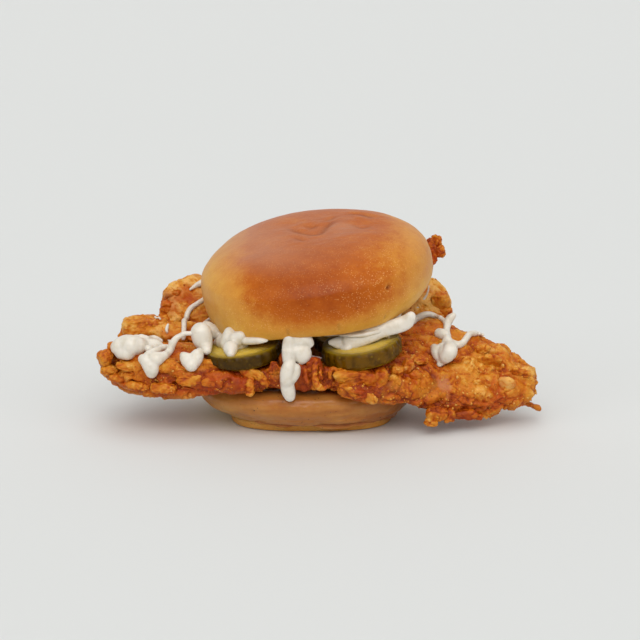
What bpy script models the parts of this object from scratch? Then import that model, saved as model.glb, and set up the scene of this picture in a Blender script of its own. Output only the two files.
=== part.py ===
"""A fried chicken burger: fillets wider than the bun, pickle slices and white cream sauce.

The row frame has its origin on the table under the middle of the heel (the lower bun).
+X runs to the eater's right along the fillets, +Y away from the front, +Z up.
Every size below is in millimetres and becomes metres when a mesh is made.

The order of the stack, from the table up: heel, tan sauce, four fillets, pickle slices,
cream sauce, crown (the upper bun). The crown leans forward and to the left, because the
back fillet lies higher than the front ones.
"""

import math

import bmesh
import bpy
from mathutils import Euler, Matrix, Vector, noise
from mathutils.bvhtree import BVHTree

MM = 0.001
GAP = 0.45  # air left between pieces that touch
PASS_MOVE = 2.5  # how far one pass may press a soft piece back

# Heel: the lower bun, pressed down. It flares from a boxy foot and rounds over at its cut top.
# Rows are height, half width, half depth, how far the ring's middle has moved along X, and the
# share by which the low front left corner is pressed in.
HEEL_RINGS = (
    (0.0, 35.4, 29.0, 0.6, 0.0),
    (0.7, 36.4, 30.0, 0.6, 0.0),
    (3.5, 36.8, 32.0, 0.6, 0.0),
    (6.2, 38.4, 34.2, 0.2, 0.06),
    (8.4, 43.6, 36.6, -1.4, 0.09),
    (10.8, 47.4, 39.4, -2.4, 0.025),
    (13.6, 47.8, 40.8, -2.2, 0.0),
    (15.8, 46.0, 40.4, -2.0, 0.0),
    (17.0, 43.2, 39.0, -2.0, 0.0),
    (17.5, 40.0, 37.0, -2.0, 0.0),
)
HEEL_HEIGHT = 17.5
HEEL_BOXINESS = 3.4  # superellipse power of the foot; the belly is nearer an ellipse
BELLY_BOXINESS = 2.2

# Tan sauce: a coat that covers the heel's top and runs down its side.
COAT_THICKNESS = 1.9
COAT_GAP = GAP + 0.4  # from the heel's side to the coat's inside
COAT_SHARES = (0.93, 0.8, 0.65, 0.5, 0.38, 0.26, 0.13, 0.0)  # its rings, from the top down to its rim
# How low it runs: (degrees round the heel from +X, height above the table).
COAT_RIM = ((0, 6.5), (50, 8.5), (95, 10.0), (140, 10.5), (178, 12.6), (198, 12.2), (212, 8.0),
            (226, 5.4), (270, 4.6), (310, 4.4), (340, 4.6), (360, 6.5))

# Crown: the upper bun. Its own frame lies on its cut face.
CROWN_RADIUS = 51.2
CROWN_CUT_RADIUS = 46.0
CROWN_BELLY = 10.5  # height of the widest ring above the cut face
CROWN_HEIGHT = 34.0
CROWN_SLUMP = 0.085  # how much of its height it loses from the left side to the right
DOME_POWERS = (3.1, 2.6)  # how flat the dome's top is, and how full its shoulders are
CROWN_SHOULDER = (27.0, 5.0, 2.3)  # height, spread and depth of the left shoulder's fall
# The cut edge's waves: degrees round the crown, half spread in degrees, how far up.
CUT_WAVES = ((252, 20, 2.0), (208, 16, -1.6), (306, 27, -2.1))
CROWN_PLACE = (5.0, 1.8, 52.6)
CROWN_LEAN = (10.2, -10.2, 0.0)  # degrees about X and Y: the front and the left are low

# Cream under the crown: a thin spread with a thick band squeezed out at the front right.
SPREAD_RADIUS = 43.2
SPREAD_THIN = 1.1
BAND_THICK = 5.6
SPREAD_WAVE = 1.0
BAND_REACH = 5.6  # how far the band stands out past the spread's own edge
BAND_ANGLE = -54.0  # degrees round the crown, from +X
BAND_HALF_ARC = 38.0

# Fillets: (x, y, z, half depth, half thickness, slope in degrees) along each one.
# A positive slope lifts the back edge.
FRONT_FILLET = (
    (-93, -15, 27.2, 12, 8.4, 2),
    (-83, -18, 27.0, 15.5, 10.6, 2),
    (-70, -22, 26.4, 17.5, 11.4, 3),
    (-52, -26, 26.5, 18, 10.0, 5),
    (-34, -28, 27.2, 18, 7.0, 8),
    (-16, -29, 27.4, 18, 6.2, 8),
    (-2, -29, 27.0, 15, 5.6, 8),
)
RIGHT_FILLET = (
    (1, -29, 26.5, 15, 5.0, 8),
    (12, -28, 26.5, 20, 5.8, 11),
    (26, -27, 26.4, 23, 7.2, 17),
    (40, -20, 28.6, 24, 8.6, 26),
    (53, -15, 25.8, 25.5, 10.0, 36),
    (68, -14, 22.8, 22.5, 10.4, 38),
    (83, -14, 21.2, 17.5, 10.0, 36),
    (94, -14, 18.8, 14, 8.6, 33),
    (100.5, -14, 17.2, 10, 6.5, 30),
)
BACK_FILLET = (
    (-70, 20, 43.0, 15, 8.5, 56),
    (-58, 22, 44.0, 19, 10.0, 60),
    (-46, 24, 42.0, 19, 10.0, 54),
    (-28, 26, 37.6, 18, 9.5, 44),
    (-8, 27, 37.8, 19, 9.5, 44),
    (16, 27, 39.2, 20, 10.0, 44),
    (40, 25, 41.5, 19, 10.0, 46),
    (56, 23, 45.2, 17.5, 8.5, 54),
    (66, 22, 44.5, 12, 6.0, 58),
)
MIDDLE_FILLET = (
    (-86, 4, 34.0, 10, 9.0, 2),
    (-74, 4, 34.5, 11, 9.8, 4),
    (-55, 1, 31.6, 9.5, 8.8, 4),
    (-35, 0, 30.6, 9, 8.2, 0),
    (-12, -2, 30.0, 9, 7.6, 0),
)

# Pickle slices: centre, radius, thickness, tilt in degrees about X and Y.
PICKLES = {
    "pickle_left": ((-28.5, -30.5, 35.9), 16.4, 6.4, (5.0, -8.0)),
    "pickle_right": ((22.3, -30.0, 37.5), 17.3, 7.4, (7.0, -9.0)),
    "pickle_back": ((15.0, 3.0, 34.8), 14.0, 5.8, (12.0, -4.0)),
}
PICKLE_RIDGES = 12
PICKLE_RIDGE_DEPTH = 0.28
PICKLE_SAG = 0.5

# Cream blobs, each a fat line let fall on the food from the front and a little above:
# (x, height, half width) along it, the height taken where its line of fall meets y = 0.
CREAM_BLOBS = {
    "cream_tip": ((-85.3, 28.6, 1.7), (-81.9, 28.1, 4.5), (-77.5, 29.4, 4.1), (-73.2, 30.3, 3.2),
                  (-68.9, 31.2, 2.6), (-65.0, 31.4, 1.4)),
    "cream_fold": ((-69.3, 17.0, 1.3), (-69.3, 19.7, 2.8), (-69.3, 23.2, 4.1), (-66.7, 26.4, 3.2),
                   (-62.4, 28.6, 2.2), (-58.9, 31.2, 1.8), (-55.6, 34.4, 1.2)),
    "cream_heart": ((-51.1, 19.5, 1.1), (-51.1, 22.1, 2.8), (-51.5, 25.0, 3.8), (-49.6, 27.4, 2.0)),
    "cream_bulb": ((-46.3, 28.6, 1.8), (-46.8, 30.6, 3.0), (-46.8, 33.9, 4.3), (-45.5, 37.0, 3.8),
                   (-43.5, 38.8, 2.2)),
    "cream_star": ((-40.3, 31.2, 1.1), (-37.7, 31.7, 2.8), (-34.2, 31.7, 4.8), (-30.8, 31.7, 3.7),
                   (-27.3, 31.2, 1.7)),
    "cream_lump": ((-2.6, 22.2, 2.2), (-2.6, 24.8, 4.0), (-3.5, 28.1, 5.3), (-3.9, 31.6, 5.2),
                   (-4.2, 34.6, 4.2)),
    "cream_drip": ((-8.7, 5.5, 1.1), (-8.9, 7.8, 2.2), (-10.0, 11.3, 2.8), (-10.2, 15.0, 3.0),
                   (-9.2, 18.2, 3.4), (-8.6, 20.6, 2.2)),
    "cream_splash": ((57.0, 21.5, 1.1), (57.0, 23.7, 2.6), (59.1, 26.8, 4.1), (60.8, 29.9, 3.4),
                     (60.4, 32.5, 1.8)),
}
CREAM_FALL = 12.0  # degrees below level
CREAM_SPAN = 6.0  # how much deeper one end of a blob may lie than the other
CREAM_DEPTH = 0.72  # how deep a blob is, over how wide it is

# Crisps: bits of crust, as curved flakes. Place, width, height, thickness, turn in degrees.
CRISPS = {
    "crisp_shard": ((56.6, 31.0, 68.0), 7.2, 17.0, 2.6, (6, 15, 12)),
    "crisp_curl": ((1.8, -48.0, 26.8), 7.5, 11.5, 2.2, (8, -14, -20)),
}

CRUST = ("fried crust", (0.48, 0.17, 0.03), 0.5)
BREAD = ("glazed bread", (0.46, 0.17, 0.05), 0.3)
HEEL_BREAD = ("heel bread", (0.50, 0.27, 0.09), 0.6)
TAN_SAUCE = ("tan sauce", (0.36, 0.14, 0.045), 0.3)
CREAM = ("cream sauce", (0.75, 0.72, 0.62), 0.35)
PICKLE = ("pickle", (0.13, 0.10, 0.012), 0.3)


def material(look):
    """The Principled material of a look: its name, colour and roughness."""
    name, colour, roughness = look
    found = bpy.data.materials.get(name)
    if found:
        return found
    made = bpy.data.materials.new(name)
    made.use_nodes = True
    shader = made.node_tree.nodes["Principled BSDF"]
    shader.inputs["Base Color"].default_value = (*colour, 1)
    shader.inputs["Roughness"].default_value = roughness
    shader.inputs["Metallic"].default_value = 0
    return made


def lofted(name, rings, first_pole, last_pole, look, place=(0, 0, 0), turn=(0, 0, 0)):
    """A closed solid skinned over rings of equal length between two poles, in millimetres.

    The rings run anticlockwise as seen from the last pole, so the faces point out.
    """
    skin = bmesh.new()
    loops = [[skin.verts.new(point * MM) for point in ring] for ring in rings]
    first = skin.verts.new(Vector(first_pole) * MM)
    last = skin.verts.new(Vector(last_pole) * MM)
    count = len(rings[0])
    for i in range(count):
        j = (i + 1) % count
        skin.faces.new((first, loops[0][j], loops[0][i]))
        for low, high in zip(loops, loops[1:]):
            skin.faces.new((low[i], low[j], high[j], high[i]))
        skin.faces.new((loops[-1][i], loops[-1][j], last))
    bmesh.ops.recalc_face_normals(skin, faces=skin.faces[:])
    mesh = bpy.data.meshes.new(name)
    skin.to_mesh(mesh)
    skin.free()
    mesh.shade_smooth()
    piece = bpy.data.objects.new(name, mesh)
    piece.location = Vector(place) * MM
    piece.rotation_euler = Euler([math.radians(angle) for angle in turn])
    bpy.context.scene.collection.objects.link(piece)
    mesh.materials.append(material(look))
    bpy.context.view_layer.update()
    return piece


def circle(radius, height, steps):
    """A level ring of points; radius and height are numbers or functions of the angle."""
    ring = []
    for i in range(steps):
        angle = 2 * math.pi * i / steps
        r = radius(angle) if callable(radius) else radius
        z = height(angle) if callable(height) else height
        ring.append(Vector((r * math.cos(angle), r * math.sin(angle), z)))
    return ring


def power(value, exponent):
    """A signed power, for superellipses."""
    return math.copysign(abs(value) ** exponent, value)


def catmull(rows, t):
    """The row at t (0 to 1) on a Catmull-Rom curve through rows of numbers."""
    spans = len(rows) - 1
    at = min(int(t * spans), spans - 1)
    u = t * spans - at
    before, start, end, after = (rows[min(max(at + k, 0), spans)] for k in (-1, 0, 1, 2))
    return [
        0.5 * (2 * b + (c - a) * u + (2 * a - 5 * b + 4 * c - d) * u**2 + (3 * b - a - 3 * c + d) * u**3)
        for a, b, c, d in zip(before, start, end, after)
    ]


def crust_lump(point, seed):
    """How far the crust stands out at a point: broad lumps with smaller knobs on them."""
    at = point + Vector((seed * 37.0, seed * 11.0, 0))
    return 1.9 * noise.noise(at / 17) + 1.1 * noise.noise(at / 7.5)


def fillet(name, stations, seed, rings=24, sides=20, squareness=2.5, end_power=5.0):
    """A fried fillet: superellipse sections along its stations, closed by round blunt ends."""
    sections = []
    for i in range(rings):
        t = 0.5 - 0.5 * math.cos(math.pi * (i + 0.5) / rings)
        x, y, z, half_depth, half_thick, slope = catmull(stations, t)
        end = (1 - abs(2 * t - 1) ** end_power) ** 0.5
        lean = Matrix.Rotation(math.radians(slope), 3, "X")
        section = []
        for k in range(sides):
            angle = 2 * math.pi * k / sides
            across = power(math.cos(angle), 2 / squareness) * half_depth * end
            up = power(math.sin(angle), 2 / squareness) * half_thick * end
            out = lean @ Vector((0, across, up))
            point = Vector((x, y, z)) + out
            section.append(point + out.normalized() * crust_lump(point, seed) * end)
        sections.append(section)
    return lofted(name, sections, stations[0][:3], stations[-1][:3], CRUST)


def between(rows, value):
    """The row at a value of the first column, by straight interpolation between rows."""
    for low, high in zip(rows, rows[1:]):
        if value <= high[0]:
            share = (value - low[0]) / (high[0] - low[0])
            return [a + (b - a) * share for a, b in zip(low, high)]
    return list(rows[-1])


def heel_nick(angle, height):
    """The share by which the heel's low front left corner is pressed in."""
    return between(HEEL_RINGS, height)[4] * max(0.0, math.cos(angle - 3.7)) ** 6


def heel_point(angle, height, grow=0.0):
    """The point of the heel's side at an angle and a height, pushed out by grow."""
    _, half_width, half_depth, shift, _ = between(HEEL_RINGS, height)
    box = HEEL_BOXINESS + (BELLY_BOXINESS - HEEL_BOXINESS) * min(height / 10.5, 1.0)
    across, along = abs(math.cos(angle)) / half_width, abs(math.sin(angle)) / half_depth
    r = (across**box + along**box) ** (-1 / box)
    r = r * (1 + 0.012 * math.cos(3 * angle - 1.1)) * (1 - heel_nick(angle, height)) + grow
    return Vector((shift + r * math.cos(angle), r * math.sin(angle), height))


def heel(steps=32):
    """The lower bun, flat on the table and on its cut top."""
    angles = [2 * math.pi * i / steps for i in range(steps)]
    rings = [[heel_point(a, 0.0, grow=-14) for a in angles]]
    rings += [[heel_point(a, row[0]) for a in angles] for row in HEEL_RINGS]
    rings.append([heel_point(a, HEEL_HEIGHT, grow=-20) for a in angles])
    return lofted("bun_heel", rings, (0, 0, 0), (HEEL_RINGS[-1][3], 0, HEEL_HEIGHT), HEEL_BREAD)


def coat_low(angle):
    """How low the tan sauce runs round the heel, with a few tongues."""
    tongues = 0.45 * math.sin(7 * angle + 0.5) + 0.3 * math.sin(12 * angle + 2.0)
    return between(COAT_RIM, math.degrees(angle) % 360)[1] + tongues


def sauce_coat(steps=32):
    """The tan sauce: a thin cap over the heel's top, running down its side to a wavy rim."""
    angles = [2 * math.pi * i / steps for i in range(steps)]
    inner, outer = COAT_GAP, COAT_GAP + COAT_THICKNESS

    def side(share, grow):
        heights = [coat_low(a) + (HEEL_HEIGHT - coat_low(a)) * share for a in angles]
        return [heel_point(a, z, grow) for a, z in zip(angles, heights)]

    def cap(height, grow):
        return [heel_point(a, HEEL_HEIGHT, grow) + Vector((0, 0, height)) for a in angles]

    rings = [cap(GAP, -24), cap(GAP, -6), cap(GAP, 0.2)]
    rings += [side(share, inner) for share in COAT_SHARES]
    rings.append([point - Vector((0, 0, 0.7)) for point in side(0.0, 0.6 * outer)])
    rings += [side(share, outer) for share in reversed(COAT_SHARES)]
    top = GAP + COAT_THICKNESS
    rings += [cap(0.75 * top, 1.6), cap(top, -1.5), cap(top, -20)]
    middle = HEEL_RINGS[-1][3]
    low, high = (middle, 0, HEEL_HEIGHT + GAP), (middle, 0, HEEL_HEIGHT + top)
    return lofted("sauce_coat", rings, low, high, TAN_SAUCE)


def crown_radius(height, angle):
    """The crown's radius at a height above its cut face, with less tuck below on the left."""
    if height < CROWN_BELLY:
        share = 1 - height / CROWN_BELLY
        tuck = (CROWN_RADIUS - CROWN_CUT_RADIUS) * (1 - 0.6 * max(0.0, math.cos(angle - 3.5)))
        return CROWN_RADIUS - tuck * share**2.2
    share = (height - CROWN_BELLY) / (CROWN_HEIGHT - CROWN_BELLY)
    flat, full = DOME_POWERS
    return CROWN_RADIUS * max(0.0, 1 - share**flat) ** (1 / full)


def shoulder(height, angle):
    """How far the crown's left shoulder falls inside the even dome."""
    middle, spread, depth = CROWN_SHOULDER
    return depth * max(0.0, -math.cos(angle)) * math.exp(-(((height - middle) / spread) ** 2))


def cut_lift(angle, share):
    """How far the crown's cut face lies off flat, at a share of its radius: its edge is wavy."""
    turn = math.degrees(angle) % 360
    return share**3 * sum(rise * math.exp(-(((turn - at) / spread) ** 2)) for at, spread, rise in CUT_WAVES)


def crown_wave(angle):
    """The crown's outline as a share of its radius: not quite round."""
    return 1 + 0.012 * math.cos(2 * angle - 0.4) + 0.008 * math.cos(3 * angle + 0.9)


def slumped(ring):
    """A ring of the crown with its height made less towards the right side."""
    return [Vector((p.x, p.y, p.z * (1 - CROWN_SLUMP * p.x / CROWN_RADIUS))) for p in ring]


def crown(steps=36):
    """The upper bun: a squat dome with a pinched middle, leaning on what it covers."""
    heights = [0.0, 0.6, 3.0, 6.5, CROWN_BELLY, 15.2, 20.0, 24.2, 27.6, 30.4, 32.4, 33.4, 33.9]
    rings = [circle(r, lambda a, r=r: cut_lift(a, r / CROWN_CUT_RADIUS), steps) for r in (22.0, 39.0)]
    for z in heights:
        edge_round = 0.9 if z == 0 else 0.0
        fade = max(0.0, 1 - z / CROWN_BELLY) ** 1.5

        def rim(angle, z=z, edge_round=edge_round):
            return (crown_radius(z, angle) - edge_round - shoulder(z, angle)) * crown_wave(angle)

        def height(angle, z=z, fade=fade):
            return z + fade * cut_lift(angle, 1.0)

        rings.append(slumped(circle(rim, height, steps)))
    pinch = CROWN_HEIGHT - 1.4
    return lofted("bun_crown", rings, (0, 0, 0), (0, 0, pinch), BREAD, CROWN_PLACE, CROWN_LEAN)


def band_share(angle):
    """1 in the middle of the thick cream band, falling smoothly to 0 at its ends."""
    off = math.degrees(angle) - BAND_ANGLE
    off = (off + 180) % 360 - 180
    share = max(0.0, 1 - abs(off) / BAND_HALF_ARC)
    return share * share * (3 - 2 * share)


def cream_spread(steps=36):
    """The cream on the crown's cut face, thin except where it bulges out at the front right."""

    def rim(angle):
        return SPREAD_RADIUS + SPREAD_WAVE * math.sin(3 * angle + 0.4) + BAND_REACH * band_share(angle)

    def depth(k, share):
        def below(angle):
            bulge = (BAND_THICK - SPREAD_THIN) * band_share(angle) * share
            return cut_lift(angle, 0.95 * k) - (GAP + SPREAD_THIN + bulge)

        return below

    def edge(angle):
        return cut_lift(angle, 0.95) - (GAP + 0.5 * SPREAD_THIN + 1.6 * band_share(angle))

    under = ((0.3, 0.0), (0.6, 0.05), (0.78, 0.55), (0.9, 0.95), (0.975, 0.8))
    rings = [circle(lambda a, k=k: rim(a) * k, depth(k, share), steps) for k, share in under]
    rings.append(circle(rim, edge, steps))
    for k in (0.985, 0.7, 0.3):
        rings.append(circle(lambda a, k=k: rim(a) * k, lambda a, k=k: cut_lift(a, 0.95 * k) - GAP, steps))
    low, high = -(GAP + SPREAD_THIN), -GAP
    return lofted("cream_spread", rings, (0, 0, low), (0, 0, high), CREAM, CROWN_PLACE, CROWN_LEAN)


def pickle(name, place, radius, thickness, tilt, steps=24):
    """A slice of pickle: a ridged disc with soft edges that sags a little at its rim."""

    def wavy(share):
        return lambda a: radius * share + PICKLE_RIDGE_DEPTH * math.sin(PICKLE_RIDGES * a)

    def sag(height, share):
        return height - PICKLE_SAG * share**2

    half = thickness / 2
    rim = ((0.93, -half), (0.995, -half * 0.6), (1.0, half * 0.5), (0.955, half))
    profile = ((0.5, -half), *rim, (0.5, half))
    rings = [circle(wavy(share), sag(height, share), steps) for share, height in profile]
    return lofted(name, rings, (0, 0, -half), (0, 0, half), PICKLE, place, (*tilt, 0))


def fall_on(path, trees):
    """Where a fat line lies on the food: the middle of each of its stations, and its half width.

    Each station rests on what stands furthest forward under its width, and the stations'
    depths are kept within a span and evened out, because cream bridges the gaps it crosses.
    """
    fall = Vector((0, math.cos(math.radians(CREAM_FALL)), -math.sin(math.radians(CREAM_FALL))))
    starts = [Vector((x, 0, height)) - fall * 200 for x, height, _ in path]
    reaches = []
    for start, (_, _, half) in zip(starts, path):
        tries = [Vector((dx * half, 0, dz * half)) for dx in (-0.7, 0, 0.7) for dz in (-0.7, 0, 0.7)]
        met = [tree.ray_cast(start + offset, fall)[3] for tree, _ in trees for offset in tries]
        reaches.append(min([reach for reach in met if reach is not None], default=400.0))
    nearest = min(reaches)
    reaches = [min(reach, nearest + CREAM_SPAN) for reach in reaches]
    eased = [min(reach, (reach + sum(reaches[max(i - 1, 0):i + 2])) / (1 + len(reaches[max(i - 1, 0):i + 2])))
             for i, reach in enumerate(reaches)]
    return [(*(start + fall * (reach - 0.5 * half)), half)
            for start, reach, (_, _, half) in zip(starts, eased, path)]


def cream_blob(name, path, neighbours, rings=9, sides=10):
    """A blob of cream: a fat line that lies on the front of whatever is behind it."""
    stations = fall_on(path, [world_tree(neighbour) for neighbour in neighbours])
    sections = []
    for i in range(rings):
        t = 0.5 - 0.5 * math.cos(math.pi * (i + 0.5) / rings)
        *centre, half = catmull(stations, t)
        ahead = Vector(catmull(stations, min(t + 0.03, 1.0))[:3])
        behind = Vector(catmull(stations, max(t - 0.03, 0.0))[:3])
        along = (ahead - behind).normalized()
        side = along.cross(Vector((0, 1, 0))).normalized()
        deep = along.cross(side)
        end = (1 - abs(2 * t - 1) ** 5) ** 0.5
        section = []
        for k in range(sides):
            angle = 2 * math.pi * k / sides
            out = side * math.cos(angle) + deep * math.sin(angle) * CREAM_DEPTH
            section.append(Vector(centre) + out * half * end)
        sections.append(section)
    return lofted(name, sections, stations[0][:3], stations[-1][:3], CREAM)


def crisp(name, place, width, height, thickness, turn, rings=7, steps=8):
    """A bit of crust: a flake that is narrow at its foot, bends back and has a ragged edge."""
    sections = []
    for i in range(rings):
        t = (i + 0.5) / rings
        widen = (0.45 + 0.75 * t) * math.sqrt(1 - (2 * t - 1) ** 6)
        bend = 0.14 * height * math.sin(math.pi * t) + 0.5 * math.sin(7 * t)
        section = []
        for k in range(steps):
            angle = 2 * math.pi * k / steps
            ragged = 1 + 0.16 * math.sin(3 * angle + 9 * t)
            section.append(
                Vector(
                    (
                        0.5 * width * widen * ragged * math.cos(angle),
                        0.5 * thickness * widen * math.sin(angle) - bend,
                        height * (t - 0.5),
                    )
                )
            )
        sections.append(section)
    low = Vector((0, 0, -0.5 * height))
    high = Vector((0, 0, 0.5 * height))
    return lofted(name, sections, low, high, CRUST, place, turn)


def world_tree(piece):
    """A search tree over a piece's faces, in millimetres in the row frame."""
    to_world = piece.matrix_world
    points = [to_world @ vertex.co / MM for vertex in piece.data.vertices]
    faces = [tuple(face.vertices) for face in piece.data.polygons]
    return BVHTree.FromPolygons(points, faces), points


def is_inside(point, tree):
    """Whether a point lies inside a closed skin: the first face met on a ray leads out of it."""
    ray = Vector((0.31, 0.17, 0.93)).normalized()
    _, normal, _, _ = tree.ray_cast(point, ray)
    return normal is not None and normal.dot(ray) > 0


def eased(move):
    """A move no longer than one pass may make, so that a squeezed skin cannot run away."""
    return move * min(1.0, PASS_MOVE / max(move.length, 1e-9))


def push_out(point, tree, gap):
    """The move that brings a point to at least gap outside a neighbour, or None."""
    nearest, normal, _, distance = tree.find_nearest(point, 25.0)
    if nearest is None or distance < 1e-6:
        return None if nearest is None else normal * gap
    if is_inside(point, tree):
        return (nearest - point) * (1 + gap / distance)
    if distance < gap:
        return (point - nearest) * (gap / distance - 1)
    return None


def press_from(neighbour_points, own, faces, gap):
    """The moves of a skin's corners that free it of its neighbours' corners."""
    moves = {}
    for point in neighbour_points:
        nearest, normal, index, distance = own.find_nearest(point, 8.0)
        if nearest is None:
            continue
        inside = is_inside(point, own)
        if not inside and distance >= gap:
            continue
        way = normal if distance < 1e-6 else (nearest - point).normalized()
        move = -way * (distance + gap) if inside else way * (gap - distance)
        for i in faces[index]:
            if i not in moves or move.length > moves[i].length:
                moves[i] = move
    return moves


def settle(piece, neighbours, gap=0.6, passes=8):
    """Presses a soft piece's skin back wherever it meets its neighbours, leaving a gap.

    Corners, edge middles and face middles are tried, so that no face cuts a neighbour's bulge.
    The neighbours' own corners are tried against the piece in the same way.
    """
    trees = [world_tree(neighbour) for neighbour in neighbours]
    to_world = piece.matrix_world
    to_own = to_world.inverted()
    points = [to_world @ vertex.co / MM for vertex in piece.data.vertices]
    groups = [(vertex.index,) for vertex in piece.data.vertices]
    groups += [tuple(edge.vertices) for edge in piece.data.edges]
    groups += [tuple(face.vertices) for face in piece.data.polygons]
    faces = [tuple(face.vertices) for face in piece.data.polygons]
    for _ in range(passes):
        for tree, neighbour_points in trees:
            for group in groups:
                middle = sum((points[i] for i in group), Vector()) / len(group)
                move = push_out(middle, tree, gap)
                if move is not None:
                    for i in group:
                        points[i] = points[i] + eased(move)
            own = BVHTree.FromPolygons(points, faces)
            for i, move in press_from(neighbour_points, own, faces, 0.7 * gap).items():
                points[i] = points[i] + eased(move)
    for vertex, point in zip(piece.data.vertices, points):
        vertex.co = to_own @ (point * MM)
    piece.data.update()
    return piece


def build():
    """Makes every piece, from the table up, each one settled against those it lies on."""
    for old in list(bpy.data.objects):
        bpy.data.objects.remove(old)
    foot = heel()
    base = [foot, settle(sauce_coat(), [foot], gap=0.4)]
    upper = crown()
    right = settle(fillet("fillet_right", RIGHT_FILLET, seed=2, end_power=6.0), base)
    front = settle(fillet("fillet_front", FRONT_FILLET, seed=1), [*base, right])
    back = settle(fillet("fillet_back", BACK_FILLET, seed=3), [*base, upper, right, front], gap=1.0)
    slab = fillet("fillet_middle", MIDDLE_FILLET, seed=4, rings=16, sides=16, squareness=3.2)
    middle = settle(slab, [*base, front, back])
    chicken = [right, front, back, middle]
    spread = settle(cream_spread(), [upper, *chicken], gap=0.5, passes=12)
    slices = []
    for name, (place, radius, thickness, tilt) in PICKLES.items():
        made = pickle(name, place, radius, thickness, tilt)
        slices.append(settle(made, [upper, spread, *chicken, *slices]))
    laid = [*base, upper, spread, *chicken, *slices]
    for name, (place, width, height, thickness, turn) in CRISPS.items():
        laid.append(settle(crisp(name, place, width, height, thickness, turn), laid))
    for name, path in CREAM_BLOBS.items():
        laid.append(settle(cream_blob(name, path, laid), laid))


build()
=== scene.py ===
"""The looks of a fried chicken burger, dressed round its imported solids.

Every shape is worked out in millimetres in the row frame (+X along the fillets, +Y to the back,
+Z up) and becomes metres when its mesh is made. The solids are felt out with rays, so each dressed
piece lies where its solid lies, with the fine relief of crust, bread, sauce, pickle and cream on it.
"""

import logging
import math
from collections.abc import Callable, Sequence
from dataclasses import dataclass, field
from enum import Enum

import bpy
import numpy as np
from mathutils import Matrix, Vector
from mathutils.bvhtree import BVHTree


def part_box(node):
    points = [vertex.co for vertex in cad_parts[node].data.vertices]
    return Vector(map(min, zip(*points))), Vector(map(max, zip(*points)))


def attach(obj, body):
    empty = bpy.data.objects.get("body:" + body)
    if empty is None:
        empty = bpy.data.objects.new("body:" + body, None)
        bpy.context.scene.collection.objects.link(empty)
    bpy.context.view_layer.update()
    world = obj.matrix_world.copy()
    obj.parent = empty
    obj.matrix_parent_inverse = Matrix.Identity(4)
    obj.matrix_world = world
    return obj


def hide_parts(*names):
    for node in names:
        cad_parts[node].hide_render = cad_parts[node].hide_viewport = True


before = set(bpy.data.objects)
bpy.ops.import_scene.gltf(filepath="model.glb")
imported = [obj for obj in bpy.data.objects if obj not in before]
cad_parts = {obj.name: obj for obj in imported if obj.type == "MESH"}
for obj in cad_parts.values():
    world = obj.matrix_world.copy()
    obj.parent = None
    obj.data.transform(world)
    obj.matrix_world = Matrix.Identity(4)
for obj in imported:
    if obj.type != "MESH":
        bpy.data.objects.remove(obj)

Array = np.ndarray
Material = bpy.types.Material
Socket = bpy.types.NodeSocket
Triple = tuple[float, float, float]
Station = tuple[float, float, float, float]  # x, y, z and radius
Spot = tuple[float, float, float, float, float]  # x, y, z, radius and depth
# A Shade adds to the crust's tone over an oval; the dark ones are painted shade, partly sauce soaking in.
Shade = tuple[float, float, float, float, float]  # x, z, half width, half height and what is added
LOG = logging.getLogger("burger")
MM = 0.001
FALL = 12.0  # degrees below level at which cream is let fall on the food from the front

FALL_WAY = np.array([0.0, math.cos(math.radians(FALL)), -math.sin(math.radians(FALL))])


# ----- Numbers: noise, splines and rays -----


def smooth_step(value: Array, low: float, high: float) -> Array:
    """A share that rises from 0 at low to 1 at high, as 3s^2 - 2s^3 of the straight share s.

    Args:
        value: Numbers of any shape.
        low: Where the share leaves 0.
        high: Where it reaches 1; it may lie below low, which turns the step round.

    Returns:
        The shares, in the shape of value.
    """
    share = np.clip((value - low) / (high - low), 0.0, 1.0)
    return share * share * (3 - 2 * share)


def bell(value: Array, middle: float, width: float) -> Array:
    """A bump of height 1 round a middle: exp(-((value - middle) / width)^2)."""
    return np.exp(-(((value - middle) / width) ** 2))


def near_share(points: Array, place: Sequence[float], radius: float) -> Array:
    """A share that is 1 at a place and fades with the distance d from it: exp(-d^2 / radius^2)."""
    return np.exp(-((points - place) ** 2).sum(-1) / radius**2)


def oval_share(points: Array, x: float, z: float, wide: float, high: float) -> Array:
    """A share that is 1 at x and z, and fades over an oval that is upright as seen from the front."""
    return np.exp(-(((points[..., 0] - x) / wide) ** 2) - (((points[..., 2] - z) / high) ** 2))


def hashed(cells: Array, seed: int) -> Array:
    """A fixed random whole number for each cell of a lattice, by mixing its three indices.

    Args:
        cells: Whole-number cells, (..., 3).
        seed: Another seed gives another, unrelated field.

    Returns:
        Unsigned 32-bit numbers, in the shape of cells without its last axis.
    """
    index = cells.astype(np.int64).astype(np.uint32)
    mixed = index[..., 0] * np.uint32(0x8DA6B343)
    mixed = mixed ^ (index[..., 1] * np.uint32(0xD8163841))
    mixed = mixed ^ (index[..., 2] * np.uint32(0xCB1AB31F))
    mixed = mixed ^ np.uint32((seed * 0x9E3779B9 + 0x7F4A7C15) & 0xFFFFFFFF)
    for shift, factor in ((15, 0x2C1B3C6D), (12, 0x297A2D39), (15, 0x1B56C4E9)):
        mixed = (mixed ^ (mixed >> np.uint32(shift))) * np.uint32(factor)
    return mixed ^ (mixed >> np.uint32(16))


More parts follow.
